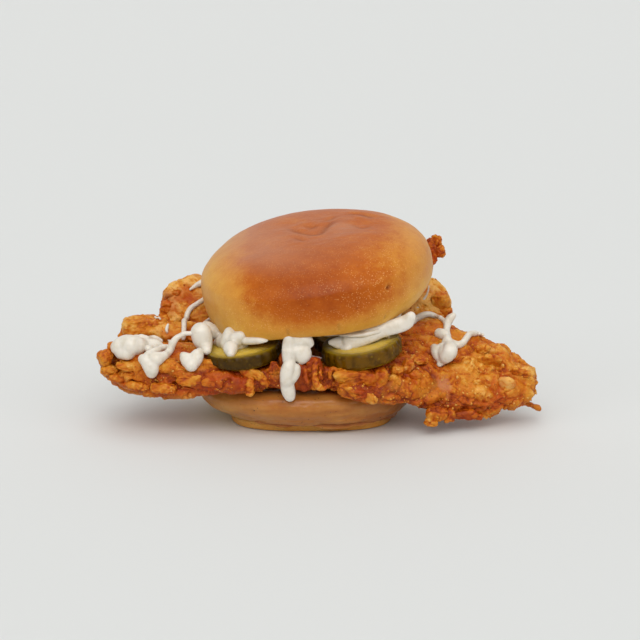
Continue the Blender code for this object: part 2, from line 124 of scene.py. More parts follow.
def gradient_noise(points: Array, size: float, seed: int) -> Array:
    """Smooth noise of about -1 to 1: random slopes at lattice corners, blended by a quintic fade.

    Args:
        points: Places in millimetres, (..., 3).
        size: The lattice step in millimetres, about the width of one bump.
        seed: Which field.

    Returns:
        The noise at each place.
    """
    spot = points / size
    base = np.floor(spot)
    part = spot - base
    fade = part**3 * (part * (part * 6 - 15) + 10)
    total = np.zeros(points.shape[:-1])
    for corner in np.ndindex(2, 2, 2):
        mixed = hashed(base + corner, seed)
        turn = (mixed & np.uint32(0xFFFF)) * (2 * math.pi / 65536)
        height = (mixed >> np.uint32(16)) / 32767.5 - 1.0
        flat = np.sqrt(np.maximum(0.0, 1 - height * height))
        away = part - corner
        slope = away[..., 0] * flat * np.cos(turn) + away[..., 1] * flat * np.sin(turn)
        slope = slope + away[..., 2] * height
        weight = np.prod(np.where(np.array(corner) == 1, fade, 1 - fade), axis=-1)
        total += slope * weight
    return total * 1.6


def layered_noise(points: Array, size: float, seed: int, layers: int = 3) -> Array:
    """Noise upon noise: each layer is half as wide and a little over half as strong as the last.

    Args:
        points: Places in millimetres.
        size: The width of the broadest bumps.
        seed: Which field.
        layers: How many layers.

    Returns:
        The sum, of about -1 to 1.
    """
    total = np.zeros(points.shape[:-1])
    weight = 1.0
    for layer in range(layers):
        total += weight * gradient_noise(points, size / 2**layer, seed + 17 * layer)
        weight *= 0.55
    return total / 1.6


def cell_noise(points: Array, size: float, seed: int) -> tuple[Array, Array, Array]:
    """Cells round scattered seeds: how far the nearest and the next nearest seed are.

    Args:
        points: Places in millimetres, (..., 3).
        size: The mean distance between seeds.
        seed: Which scatter.

    Returns:
        The nearest distance and the next, both over size, and a random share that names the cell.
    """
    spot = points / size
    base = np.floor(spot)
    nearest = np.full(points.shape[:-1], 9.0)
    second = nearest.copy()
    name = np.zeros(points.shape[:-1])
    for step in np.ndindex(3, 3, 3):
        cell = base + step - 1.0
        mixed = hashed(cell, seed)
        jitter = np.stack([(mixed >> np.uint32(shift)) & np.uint32(1023) for shift in (0, 10, 20)], -1)
        away = cell + 0.1 + 0.8 * jitter / 1023.0 - spot
        reach = np.sqrt((away * away).sum(-1))
        closer = reach < nearest
        second = np.where(closer, nearest, np.minimum(second, reach))
        name = np.where(closer, (mixed & np.uint32(0x3FFFFF)) / 4194304.0, name)
        nearest = np.where(closer, reach, nearest)
    return nearest, second, name


def spline_weights(knots: int, at: Array, closed: bool) -> Array:
    """How much each knot counts at each place on a uniform cubic B-spline.

    Args:
        knots: How many knots.
        at: Places from 0 to 1 along an open row, or round a closed one.
        closed: Whether the last knot is followed by the first.

    Returns:
        One row of weights for each place, (places, knots).
    """
    spot = at * (knots if closed else knots - 1)
    base = np.floor(spot).astype(int)
    part = spot - base
    blend = (
        (1 - part) ** 3 / 6,
        (3 * part**3 - 6 * part**2 + 4) / 6,
        (-3 * part**3 + 3 * part**2 + 3 * part + 1) / 6,
        part**3 / 6,
    )
    weights = np.zeros((len(at), knots))
    for shift, share in enumerate(blend, start=-1):
        index = (base + shift) % knots if closed else np.clip(base + shift, 0, knots - 1)
        np.add.at(weights, (np.arange(len(at)), index), share)
    return weights


def along_path(stations: Array, steps: int) -> Array:
    """A Catmull-Rom curve through stations, with every column carried along.

    Args:
        stations: The rows that the curve passes, (count, columns).
        steps: How many points each span gets.

    Returns:
        The rows of the curve.
    """
    if len(stations) < 2:
        return stations
    ends = np.vstack([2 * stations[0] - stations[1], stations, 2 * stations[-1] - stations[-2]])
    place = np.linspace(0, len(stations) - 1, steps * (len(stations) - 1) + 1)
    base = np.minimum(place.astype(int), len(stations) - 2)
    part = (place - base)[:, None]
    before, first, second, after = (ends[base + shift] for shift in range(4))
    return 0.5 * (
        2 * first
        + (second - before) * part
        + (2 * before - 5 * first + 4 * second - after) * part**2
        + (3 * first - before - 3 * second + after) * part**3
    )


def turned(points: Array, turn: Triple) -> Array:
    """Points turned by degrees about X, then Y, then Z.

    Args:
        points: (..., 3).
        turn: The three angles in degrees.

    Returns:
        The turned points.
    """
    for axis, angle in enumerate(turn):
        cosine, sine = math.cos(math.radians(angle)), math.sin(math.radians(angle))
        first, second = (axis + 1) % 3, (axis + 2) % 3
        moved = points.copy()
        moved[..., first] = cosine * points[..., first] - sine * points[..., second]
        moved[..., second] = sine * points[..., first] + cosine * points[..., second]
        points = moved
    return points


def unit(vectors: Array) -> Array:
    """Vectors scaled to length 1."""
    return vectors / np.maximum(np.linalg.norm(vectors, axis=-1, keepdims=True), 1e-12)


def mesh_arrays(mesh: bpy.types.Mesh) -> tuple[Array, Array]:
    """A mesh's corners and triangles.

    Args:
        mesh: The mesh.

    Returns:
        The corners' places in the mesh's own unit, (corners, 3), and the triangles, (faces, 3).
    """
    mesh.calc_loop_triangles()
    points = np.empty(len(mesh.vertices) * 3)
    mesh.vertices.foreach_get("co", points)
    faces = np.empty(len(mesh.loop_triangles) * 3, dtype=np.int32)
    mesh.loop_triangles.foreach_get("vertices", faces)
    return points.reshape(-1, 3), faces.reshape(-1, 3)


def node_triangles(name: str) -> Array:
    """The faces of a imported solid, (faces, 3, 3), in millimetres."""
    points, faces = mesh_arrays(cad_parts[name].data)
    return points[faces] / MM


def leave_distance(starts: Array, ways: Array, triangles: Array, batch: int = 1200) -> Array:
    """How far each ray goes until it leaves a skin for the last time.

    The ray start + t way meets a triangle where the barycentric shares u, v and 1 - u - v are
    all positive; the greatest such t counts.

    Args:
        starts: Where the rays start, (count, 3).
        ways: Their unit directions.
        triangles: The skin, (faces, 3, 3).
        batch: How many rays are worked out at once.

    Returns:
        The distances, minus infinity for a ray that meets nothing.
    """
    corner = triangles[:, 0]
    edge_u = triangles[:, 1] - corner
    edge_v = triangles[:, 2] - corner
    reach = np.full(len(starts), -np.inf)
    for first in range(0, len(starts), batch):
        start = starts[first:first + batch, None]
        way = ways[first:first + batch, None]
        across = np.cross(way, edge_v)
        size = (edge_u * across).sum(-1)
        scale = 1 / np.where(np.abs(size) < 1e-12, np.inf, size)
        from_corner = start - corner
        share_u = (from_corner * across).sum(-1) * scale
        other = np.cross(from_corner, edge_u)
        share_v = (way * other).sum(-1) * scale
        far = (edge_v * other).sum(-1) * scale
        met = (share_u >= -1e-7) & (share_v >= -1e-7) & (share_u + share_v <= 1 + 1e-7) & (far > 0)
        reach[first:first + batch] = np.where(met, far, -np.inf).max(axis=1)
    return reach


# ----- Surfaces and pieces -----


@dataclass
class Surface:
    """A closed skin over a grid of two parameters, with its first and last rows shrunk to poles.

    Columns run anticlockwise as seen from the last pole, so that the faces point out.

    Attributes:
        points: The grid in millimetres, (rows, columns, 3).
        marks: Named numbers for the finish, each (rows, columns).
    """

    points: Array
    marks: dict[str, Array] = field(default_factory=dict)

    def normals(self) -> Array:
        """Unit normals: the slope round the columns crossed with the slope along the rows.

        Returns:
            One normal for each grid point; a pole takes the mean of the row beside it.
        """
        round_it = np.roll(self.points, -1, axis=1) - np.roll(self.points, 1, axis=1)
        along = np.gradient(self.points, axis=0)
        normal = unit(np.cross(round_it, along))
        normal[0] = unit(normal[1].mean(axis=0))
        normal[-1] = unit(normal[-2].mean(axis=0))
        return normal

    def pushed(self, rise: Array, way: Array | None = None) -> "Surface":
        """The skin moved out, with its poles kept whole.

        Args:
            rise: How far, in millimetres, for each grid point.
            way: The unit directions, if not the normals.

        Returns:
            A new surface with the same marks.
        """
        points = self.points + (self.normals() if way is None else way) * rise[..., None]
        points[0] = points[0].mean(axis=0)
        points[-1] = points[-1].mean(axis=0)
        return Surface(points, self.marks)

    def flat(self, grid: Array) -> Array:
        """A grid as one list, with each pole once."""
        middle = grid[1:-1].reshape(-1, *grid.shape[2:])
        return np.concatenate([grid[:1, 0], middle, grid[-1:, 0]])

    def faces(self) -> Array:
        """The triangles: a fan at each pole and two for each cell between rows.

        Returns:
            Corner numbers into the flat list, (faces, 3).
        """
        rows, columns = self.points.shape[0] - 2, self.points.shape[1]
        index = 1 + np.arange(rows * columns).reshape(rows, columns)
        after = np.roll(index, -1, axis=1)
        low, low_next, high, high_next = index[:-1], after[:-1], index[1:], after[1:]
        cells = [np.stack([low, low_next, high_next], -1), np.stack([low, high_next, high], -1)]
        first = np.stack([np.zeros(columns, int), after[0], index[0]], -1)
        last = np.stack([index[-1], after[-1], np.full(columns, rows * columns + 1)], -1)
        return np.concatenate([first, *(cell.reshape(-1, 3) for cell in cells), last])

    def shape(self) -> "Shape":
        """The skin as loose corners and triangles."""
        marks = {name: self.flat(grid) for name, grid in self.marks.items()}
        return Shape(self.flat(self.points), self.faces(), marks)


@dataclass
class Shape:
    """A mesh in the making.

    Attributes:
        points: The corners in millimetres, (corners, 3).
        faces: The triangles' corner numbers, (faces, 3).
        marks: Named numbers for the finish, one for each corner.
    """

    points: Array
    faces: Array
    marks: dict[str, Array] = field(default_factory=dict)

    @staticmethod
    def joined(shapes: Sequence["Shape"]) -> "Shape":
        """Several shapes as one; a mark that one of them lacks is 0 there.

        Args:
            shapes: The shapes.

        Returns:
            Their corners and triangles, one after the other.
        """
        counts = [len(shape.points) for shape in shapes]
        starts = np.cumsum([0, *counts])
        points = np.concatenate([shape.points for shape in shapes])
        faces = np.concatenate([shape.faces + start for shape, start in zip(shapes, starts)])
        marks = {}
        for name in sorted({name for shape in shapes for name in shape.marks}):
            found = [shape.marks.get(name, np.zeros(count)) for shape, count in zip(shapes, counts)]
            marks[name] = np.concatenate(found)
        return Shape(points, faces, marks)

    @staticmethod
    def of(*surfaces: Surface) -> "Shape":
        """One or more closed skins as one shape."""
        return Shape.joined([surface.shape() for surface in surfaces])


def make_piece(name: str, shape: Shape, finish: Material) -> bpy.types.Object:
    """A smooth mesh object at the origin, with its marks as attributes.

    Args:
        name: The piece's name.
        shape: Its corners in millimetres, triangles and marks.
        finish: Its material.

    Returns:
        The object, linked to the scene.
    """
    mesh = bpy.data.meshes.new(name)
    mesh.from_pydata(shape.points * MM, [], shape.faces.astype(np.int32))
    mesh.shade_smooth()
    for mark, values in shape.marks.items():
        attribute = mesh.attributes.new(mark, "FLOAT", "POINT")
        attribute.data.foreach_set("value", values.astype(np.float32))
    mesh.materials.append(finish)
    made = bpy.data.objects.new(name, mesh)
    bpy.context.scene.collection.objects.link(made)
    return made


def settle_piece(piece: bpy.types.Object, slot: str, *nodes: str) -> bpy.types.Object:
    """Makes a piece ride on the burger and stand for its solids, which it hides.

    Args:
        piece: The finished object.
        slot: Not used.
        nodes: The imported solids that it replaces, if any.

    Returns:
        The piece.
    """
    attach(piece, "root")
    if nodes:
        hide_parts(*nodes)
    LOG.info("%s: %d triangles", piece.name, len(piece.data.polygons))
    return piece


@dataclass(frozen=True)
class Feeler:
    """Feels out a solid with rays from a spine inside it, and skins what it finds.

    The spine is one point, or a line along X with a round cap of rays at each end. The rays'
    directions are those of an ellipsoid's points, so that a flat body gets as many rays on its
    rim as on its faces.

    Attributes:
        half_sizes: The proxy ellipsoid's half sizes; the first is the cap's length on a line.
        turn: How the proxy is turned, in degrees about X, Y and Z.
        coarse: Rows and columns of rays.
        fine: Rows and columns of the skin.
        squareness: The power that draws the rows towards the rim of a flat body.
    """

    half_sizes: Triple
    turn: Triple = (0.0, 0.0, 0.0)
    coarse: tuple[int, int] = (56, 64)
    fine: tuple[int, int] = (200, 300)
    squareness: float = 1.0

    def round_rays(self, rows: Array, columns: Array) -> Array:
        """Unit directions from one point: an ellipsoid's points from its low to its high pole.

        Args:
            rows: Shares of the way from pole to pole.
            columns: Shares of the way round.

        Returns:
            The directions, (rows, columns, 3).
        """
        steep = (rows * math.pi)[:, None]
        angle = (columns * 2 * math.pi)[None, :]
        level = np.sin(steep) ** self.squareness
        height = -np.sign(np.cos(steep)) * np.abs(np.cos(steep)) ** self.squareness
        wide, deep, high = self.half_sizes
        ways = np.stack(
            np.broadcast_arrays(wide * level * np.cos(angle), deep * level * np.sin(angle), high * height), -1
        )
        return turned(unit(ways), self.turn)

    def line_rays(self, rows: Array, columns: Array, length: float) -> tuple[Array, Array]:
        """Rays from a line along X: quarter circles at its ends and level rings between them.

        Args:
            rows: Shares of the way from the first pole to the last.
            columns: Shares of the way round.
            length: The solid's length along X.

        Returns:
            Where each row starts, as a share of the length, and the directions.
        """
        cap, deep, high = self.half_sizes
        arc = 1.35 * cap
        straight = length - 2 * cap
        travel = rows * (straight + 2 * arc)
        first = np.clip(travel / arc, 0, 1)
        last = np.clip((travel - arc - straight) / arc, 0, 1)
        start = (cap + np.clip(travel - arc, 0, straight)) / length
        steep = (first + last) * math.pi / 2
        angle = (columns * 2 * math.pi)[None, :]
        level = np.sin(steep)[:, None]
        ends = -np.cos(steep)[:, None]
        ways = np.stack(
            np.broadcast_arrays(cap * ends, deep * level * np.cos(angle), high * level * np.sin(angle)), -1
        )
        return start, turned(unit(ways), self.turn)

    def reach(self, starts: Array, ways: Array, skin: Array) -> Array:
        """The coarse distances to the skin, with any miss filled from its neighbours.

        Args:
            starts: Where the rays start, (rows, columns, 3).
            ways: Their directions.
            skin: The solid's faces.

        Returns:
            The distances, (rows, columns).
        """
        flat = leave_distance(starts.reshape(-1, 3), ways.reshape(-1, 3), skin)
        reach = flat.reshape(ways.shape[:2])
        for _ in range(6):
            missing = ~np.isfinite(reach)
            if not missing.any():
                break
            near = np.stack([np.roll(reach, shift, axis) for shift in (1, -1) for axis in (0, 1)])
            known = np.isfinite(near)
            mean = np.where(known, near, 0).sum(0) / np.maximum(known.sum(0), 1)
            reach = np.where(missing & known.any(0), mean, reach)
        return np.where(np.isfinite(reach), reach, 1.0)

    def grids(self) -> tuple[Array, Array, Array, Array]:
        """The shares of the way from pole to pole, and round, at which the solid is felt and skinned.

        Returns:
            Coarse rows, coarse columns, fine rows and fine columns.
        """
        coarse_rows, coarse_columns = self.coarse
        fine_rows, fine_columns = self.fine
        return (
            np.linspace(0, 1, coarse_rows),
            np.arange(coarse_columns) / coarse_columns,
            np.linspace(0, 1, fine_rows),
            np.arange(fine_columns) / fine_columns,
        )

    def refined(self, reach: Array, rows: Array, columns: Array) -> Array:
        """Coarse distances carried to the fine grid by a B-spline each way.

        Args:
            reach: The coarse distances.
            rows: The fine rows' shares.
            columns: The fine columns' shares.

        Returns:
            The fine distances.
        """
        down = spline_weights(reach.shape[0], rows, closed=False)
        across = spline_weights(reach.shape[1], columns, closed=True)
        return down @ reach @ across.T

    def skin_from_point(self, skin: Array, centre: Array) -> Surface:
        """A smooth skin over a round solid.

        Args:
            skin: The solid's faces.
            centre: A point inside it that sees its whole skin.

        Returns:
            The fine surface.
        """
        rows, columns, fine_rows, fine_columns = self.grids()
        ways = self.round_rays(rows, columns)
        reach = self.reach(np.broadcast_to(centre, ways.shape), ways, skin)
        fine = self.refined(reach, fine_rows, fine_columns)
        points = centre + self.round_rays(fine_rows, fine_columns) * fine[..., None]
        points[0], points[-1] = points[0].mean(axis=0), points[-1].mean(axis=0)
        return Surface(points)

    def skin_from_line(self, skin: Array) -> Surface:
        """A smooth skin over a long solid, felt out from the line of its slices' middles.

        Args:
            skin: The solid's faces.

        Returns:
            The fine surface, from the low X end to the high one.
        """
        rows, columns, fine_rows, fine_columns = self.grids()
        middles = skin.mean(axis=1)
        edges = np.cross(skin[:, 1] - skin[:, 0], skin[:, 2] - skin[:, 0])
        areas = np.linalg.norm(edges, axis=1)
        low, high = skin[..., 0].min(), skin[..., 0].max()
        knots = np.linspace(0, 1, 14)
        near = areas * bell((middles[:, 0] - low) / (high - low) - knots[:, None], 0.0, 0.06)
        line = (near[..., None] * middles).sum(1) / near.sum(1)[:, None]

        def spine(shares: Array) -> Array:
            """Points of the smoothed line.

            Args:
                shares: Shares of the solid's length.

            Returns:
                One point for each.
            """
            on_line = spline_weights(len(knots), shares, closed=False) @ line
            on_line[:, 0] = low + (high - low) * shares
            return on_line

        start, ways = self.line_rays(rows, columns, high - low)
        starts = np.broadcast_to(spine(start)[:, None], ways.shape)
        fine = self.refined(self.reach(starts, ways, skin), fine_rows, fine_columns)
        start, ways = self.line_rays(fine_rows, fine_columns, high - low)
        points = spine(start)[:, None] + ways * fine[..., None]
        points[0], points[-1] = points[0].mean(axis=0), points[-1].mean(axis=0)
        return Surface(points)


def lump_surface(half_sizes: Triple, place: Triple, turn: Triple, squareness: float = 2.6,
                 grid: tuple[int, int] = (56, 72)) -> Surface:
    """A superellipsoid: |x/a|^n + |y/b|^n + |z/c|^n = 1, turned and put in its place.

    Args:
        half_sizes: a, b and c in millimetres.
        place: Its middle.
        turn: Degrees about X, Y and Z.
        squareness: The power n; 2 is an ellipsoid and more is boxier.
        grid: Rows and columns.

    Returns:
        The closed surface.
    """
    steep = (np.linspace(0, 1, grid[0]) * math.pi)[:, None]
    angle = (np.arange(grid[1]) / grid[1] * 2 * math.pi)[None, :]
    level, height = np.sin(steep), -np.cos(steep) + 0 * angle
    way = np.stack([level * np.cos(angle), level * np.sin(angle), height], -1)
    size = (np.abs(way) ** squareness).sum(-1) ** (-1 / squareness)
    points = turned(way * size[..., None] * np.array(half_sizes), turn) + np.array(place)
    return Surface(points)


def tube_surface(stations: Sequence[Station], flatten: float = 1.0, sides: int = 28,
                 steps: int = 9) -> Surface:
    """A fat line: rings square to a Catmull-Rom path, with round ends.

    Each ring is r (cos a side + flatten sin a up), where side and up are square to the path.

    Args:
        stations: Places along it with their radii.
        flatten: The ring's thickness over its width.
        sides: Corners in a ring.
        steps: Rings for each span.

    Returns:
        The closed surface.
    """
    path = along_path(np.array(stations, float), steps)
    points, radius = path[:, :3], path[:, 3]
    along = unit(np.gradient(points, axis=0))
    side = unit(np.cross(along, FALL_WAY + np.array([0.02, 0.0, 0.01])))
    up = np.cross(side, along)
    travel = np.concatenate([[0], np.cumsum(np.linalg.norm(np.diff(points, axis=0), axis=1))])
    near_end = np.minimum(travel, travel[-1] - travel) / np.maximum(radius, 1e-6)
    round_end = np.sqrt(np.clip(1 - (1 - np.minimum(near_end, 1)) ** 2, 0, 1))
    angle = np.arange(sides) / sides * 2 * math.pi
    ring = side[:, None] * np.cos(angle)[None, :, None]
    ring = ring - flatten * up[:, None] * np.sin(angle)[None, :, None]
    return Surface(points[:, None] + ring * (radius * round_end)[:, None, None])


# ----- Finishes -----


def linear(colour: str) -> tuple[float, float, float, float]:
    """A six-digit hex colour as linear red, green, blue and alpha.

    Args:
        colour: The hex digits; each pair s becomes s / 12.92 or ((s + 0.055) / 1.055)^2.4.

    Returns:
        The four numbers.
    """
    shares = [int(colour[at:at + 2], 16) / 255 for at in (0, 2, 4)]
    red, green, blue = (s / 12.92 if s <= 0.04045 else ((s + 0.055) / 1.055) ** 2.4 for s in shares)
    return red, green, blue, 1.0


class Recipe:
    """Writes a material's nodes in a few words."""

    def __init__(self, name: str) -> None:
        """Makes the material with its Principled shader.

        Args:
            name: The material's name.
        """
        self.material = bpy.data.materials.new(name)
        self.material.use_nodes = True
        self.tree = self.material.node_tree
        self.shader = self.tree.nodes["Principled BSDF"]
        self.places = self.node("ShaderNodeTexCoord").outputs["Object"]

    def node(self, kind: str, **settings: object) -> bpy.types.Node:
        """A new node.

        Args:
            kind: Blender's name for the kind of node.
            settings: Its properties.

        Returns:
            The node.
        """
        made = self.tree.nodes.new(kind)
        for name, value in settings.items():
            setattr(made, name, value)
        return made

    def feed(self, socket: Socket, value: object) -> None:
        """Links a socket, or gives it a plain value.

        Args:
            socket: An input.
            value: Another node's output, or the value.
        """
        if isinstance(value, Socket):
            self.tree.links.new(value, socket)
        else:
            socket.default_value = value

    def set(self, **values: object) -> None:
        """Sets or links the shader's sockets; an underscore stands for a space."""
        for name, value in values.items():
            self.feed(self.shader.inputs[name.replace("_", " ")], value)

    def stretched(self, scale: Triple) -> Socket:
        """The object's places, scaled.

        Args:
            scale: How much, along each axis.

        Returns:
            The scaled places.
        """
        mapping = self.node("ShaderNodeMapping")
        self.feed(mapping.inputs["Vector"], self.places)
        mapping.inputs["Scale"].default_value = scale
        return mapping.outputs["Vector"]

    def noise(self, size: float, detail: float = 3.0, roughness: float = 0.55,
              places: Socket | None = None) -> Socket:
        """Noise of 0 to 1 round 0.5.

        Args:
            size: The width of its bumps in millimetres.
            detail: How many finer layers it has.
            roughness: How strong they are.
            places: Where it is read, if not at the object's places.

        Returns:
            The number.
        """
        made = self.node("ShaderNodeTexNoise")
        self.feed(made.inputs["Vector"], places or self.places)
        made.inputs["Scale"].default_value = 1 / (size * MM)
        made.inputs["Detail"].default_value = detail
        made.inputs["Roughness"].default_value = roughness
        return made.outputs["Fac"]

    def cells(self, size: float) -> Socket:
        """Cells round scattered seeds.

        Args:
            size: How far apart the seeds are, in millimetres.

        Returns:
            The distance to the nearest seed, over size.
        """
        made = self.node("ShaderNodeTexVoronoi")
        self.feed(made.inputs["Vector"], self.places)
        made.inputs["Scale"].default_value = 1 / (size * MM)
        return made.outputs["Distance"]

    def mark(self, name: str) -> Socket:
        """A number that the mesh carries."""
        return self.node("ShaderNodeAttribute", attribute_name=name).outputs["Fac"]

    def ramp(self, share: Socket,
             stops: Sequence[tuple[float, str]]) -> Socket:
        """A colour for each share, by straight blends between stops.

        Args:
            share: The number that is looked up.
            stops: Shares with their hex colours.

        Returns:
            The colour.
        """
        made = self.node("ShaderNodeValToRGB")
        elements = made.color_ramp.elements
        while len(elements) < len(stops):
            elements.new(0.5)
        for element, (place, colour) in zip(elements, stops):
            element.position = place
            element.color = linear(colour)
        self.feed(made.inputs["Fac"], share)
        return made.outputs["Color"]

    def step(self, share: object, low: float, high: float) -> Socket:
        """A smooth step of a number.

        Args:
            share: The number.
            low: Where the step leaves 0.
            high: Where it reaches 1.

        Returns:
            A share from 0 to 1.
        """
        made = self.node("ShaderNodeMapRange", interpolation_type="SMOOTHSTEP")
        self.feed(made.inputs["Value"], share)
        made.inputs["From Min"].default_value = low
        made.inputs["From Max"].default_value = high
        return made.outputs["Result"]

    def combined(self, operation: str, first: object, second: object) -> Socket:
        """Two numbers put together.

        Args:
            operation: The Math node's name for what is done.
            first: A number.
            second: Another.

        Returns:
            The result.
        """
        made = self.node("ShaderNodeMath", operation=operation)
        self.feed(made.inputs[0], first)
        self.feed(made.inputs[1], second)
        return made.outputs[0]

    def plus(self, first: object, second: object) -> Socket:
        """The sum of two numbers."""
        return self.combined("ADD", first, second)

    def times(self, first: object, second: object) -> Socket:
        """The product of two numbers."""
        return self.combined("MULTIPLY", first, second)

    def swing(self, size: float, amount: float, detail: float = 3.0,
              roughness: float = 0.55) -> Socket:
        """Noise that swings round 0, by half of amount each way."""
        return self.times(self.combined("SUBTRACT", self.noise(size, detail, roughness), 0.5), amount)

    def mix(self, share: object, first: object, second: object) -> Socket:
        """Two colours blended.

        Args:
            share: How much of the second one shows.
            first: A colour, or a hex word for a plain one.
            second: Another.

        Returns:
            The colour.
        """
        made = self.node("ShaderNodeMix", data_type="RGBA")
        self.feed(made.inputs["Factor"], share)
        for socket, colour in ((made.inputs[6], first), (made.inputs[7], second)):
            self.feed(socket, linear(colour) if isinstance(colour, str) else colour)
        return made.outputs[2]

    def bump(self, height: Socket, depth: float,
             below: Socket | None = None) -> Socket:
        """A normal bent by a height.

        Args:
            height: From 0 to 1.
            depth: How deep that is, in millimetres.
            below: The normal that it is laid on, if any.

        Returns:
            The normal.
        """
        made = self.node("ShaderNodeBump")
        made.inputs["Distance"].default_value = depth * MM
        self.feed(made.inputs["Height"], height)
        if below is not None:
            self.feed(made.inputs["Normal"], below)
        return made.outputs["Normal"]

    def glow(self, weight: float, reach: Triple, depth: float = 2.0) -> None:
        """Lets light in: how much, how far each colour goes, and how many millimetres that is."""
        self.set(Subsurface_Weight=weight, Subsurface_Radius=reach, Subsurface_Scale=depth * MM)


@dataclass(frozen=True)
class CrustFinish:
    """Fried crust: a tone mark runs from dark crevice to golden knob, with shade painted into the crevices
    and light onto what stands out, under a film of oil.
    """

    stops: tuple[tuple[float, str], ...] = (
        (0.0, "461200"), (0.2, "802A00"), (0.42, "B05004"), (0.62, "C46C0E"), (0.82, "D48C2A"),
        (1.0, "E6B05C"),
    )
    red_patch: str = "B23E02"
    gold_patch: str = "D6922A"
    patch_size: float = 13.0
    meat: str = "BE7A50"
    burnt: str = "5A260A"
    roughness: float = 0.29

    def material(self) -> Material:
        """Mixes the colours and sets the shader.

        Returns:
            The finished material.
        """
        make = Recipe("fried_crust")
        tone = make.plus(make.mark("tone"), make.times(make.noise(1.6, 4), 0.5))
        colour = make.ramp(tone, self.stops)
        broad = make.noise(self.patch_size, 2)
        colour = make.mix(make.times(make.step(broad, 0.50, 0.72), 0.55), colour, self.red_patch)
        colour = make.mix(make.times(make.step(broad, 0.46, 0.28), 0.45), colour, self.gold_patch)
        burnt = make.step(make.noise(2.2, 2), 0.68, 0.76)
        colour = make.mix(make.times(burnt, 0.6), colour, self.burnt)
        colour = make.mix(make.times(make.mark("meat"), 0.75), colour, self.meat)
        dry = make.plus(make.times(make.noise(4.0, 2), 0.35), self.roughness)
        make.set(Base_Color=colour, Roughness=dry, Normal=make.bump(make.noise(0.8, 4, 0.65), 0.34))
        make.set(Specular_IOR_Level=0.2, Coat_Weight=0.05, Coat_Roughness=0.2)
        make.glow(0.12, (1.0, 0.35, 0.08))
        return make.material


@dataclass(frozen=True)
class CrownFinish:
    """Glazed bread: a bake mark from pale rim to deep brown, with painted light on its sides, pale flecks and
    a painted greyish sheen on top.
    """

    stops: tuple[tuple[float, str], ...] = (
        (0.0, "E8B862"), (0.2, "DEA440"), (0.42, "D08A30"), (0.62, "B65C0A"), (0.82, "9E4600"),
        (1.0, "742A00"),
    )
    fleck: str = "F0BC78"
    # The greyish colour of a painted reflection of the lit wall.
    bloom: str = "BE9076"
    crease: str = "5E200A"
    roughness: float = 0.44

    def material(self) -> Material:
        """Mixes the colours and sets the shader.

        Returns:
            The finished material.
        """
        make = Recipe("crown_bread")
        mottle = make.plus(make.swing(7.0, 0.36, 5, 0.62), make.swing(1.1, 0.16))
        colour = make.ramp(make.plus(make.mark("bake"), mottle), self.stops)
        blister = make.step(make.cells(0.82), 0.34, 0.16)
        shown = make.times(blister, make.step(make.noise(4.0, 4), 0.38, 0.56))
        shown = make.times(shown, make.times(make.mark("fleck"), 0.5))
        colour = make.mix(shown, colour, self.fleck)
        # Painted sheen: a greyish reflection painted into the colour over the crest and upper left.
        colour = make.mix(make.times(make.mark("bloom"), 0.42), colour, self.bloom)
        colour = make.mix(make.times(make.mark("crease"), 0.6), colour, self.crease)
        skin = make.bump(make.noise(0.55, 3), 0.035)
        skin = make.bump(make.cells(1.25), 0.05, skin)
        skin = make.bump(make.noise(3.4, 3), 0.2, skin)
        make.set(Base_Color=colour, Normal=skin, Roughness=self.roughness)
        make.set(Specular_IOR_Level=0.14, Coat_Weight=0.12, Coat_Roughness=0.32)
        make.glow(0.05, (1.0, 0.5, 0.15))
        return make.material


@dataclass(frozen=True)
class HeelFinish:
    """Plain bread: a golden foot, paler where its side was pressed, with an open crumb."""

    stops: tuple[tuple[float, str], ...] = (
        (0.0, "D48A30"), (0.35, "D89C48"), (0.7, "DCB266"), (1.0, "E4C484"),
    )
    pore: str = "9A6426"
    roughness: float = 0.62

    def material(self) -> Material:
        """Mixes the colours and sets the shader.

        Returns:
            The finished material.
        """
        make = Recipe("heel_bread")
        colour = make.ramp(make.plus(make.mark("pale"), make.swing(4.0, 0.7, 5, 0.6)), self.stops)
        pores = make.step(make.cells(1.7), 0.30, 0.12)
        colour = make.mix(make.times(pores, 0.35), colour, self.pore)
        skin = make.bump(make.noise(1.1, 4), 0.22)
        make.set(Base_Color=colour, Normal=make.bump(make.cells(1.7), 0.16, skin))
        make.set(Roughness=self.roughness, Specular_IOR_Level=0.35)
        make.glow(0.1, (1.0, 0.6, 0.3))
        return make.material


@dataclass(frozen=True)
class SauceFinish:
    """Tan sauce: smooth and moist, streaked, with pepper in it."""

    stops: tuple[tuple[float, str], ...] = (
        (0.0, "8A4618"), (0.4, "AA682A"), (0.65, "B87A38"), (1.0, "C89650"),
    )
    speck: str = "53240F"
    roughness: float = 0.3

    def material(self) -> Material:
        """Mixes the colours and sets the shader.

        Returns:
            The finished material.
        """
        make = Recipe("tan_sauce")
        streak = make.noise(9.0, 4, places=make.stretched((0.35, 0.6, 1.6)))
        share = make.plus(make.plus(streak, make.swing(2.6, 0.4, 4)), make.mark("thin"))
        colour = make.ramp(share, self.stops)
        speck = make.step(make.cells(2.6), 0.12, 0.075)
        colour = make.mix(make.times(speck, 0.75), colour, self.speck)
        skin = make.bump(make.noise(1.2, 3), 0.05)
        make.set(Base_Color=colour, Normal=make.bump(make.noise(4.0, 3), 0.16, skin))
        make.set(Roughness=self.roughness, Specular_IOR_Level=0.3)
        make.set(Coat_Weight=0.08, Coat_Roughness=0.15)
        make.glow(0.12, (1.0, 0.5, 0.25))
        return make.material


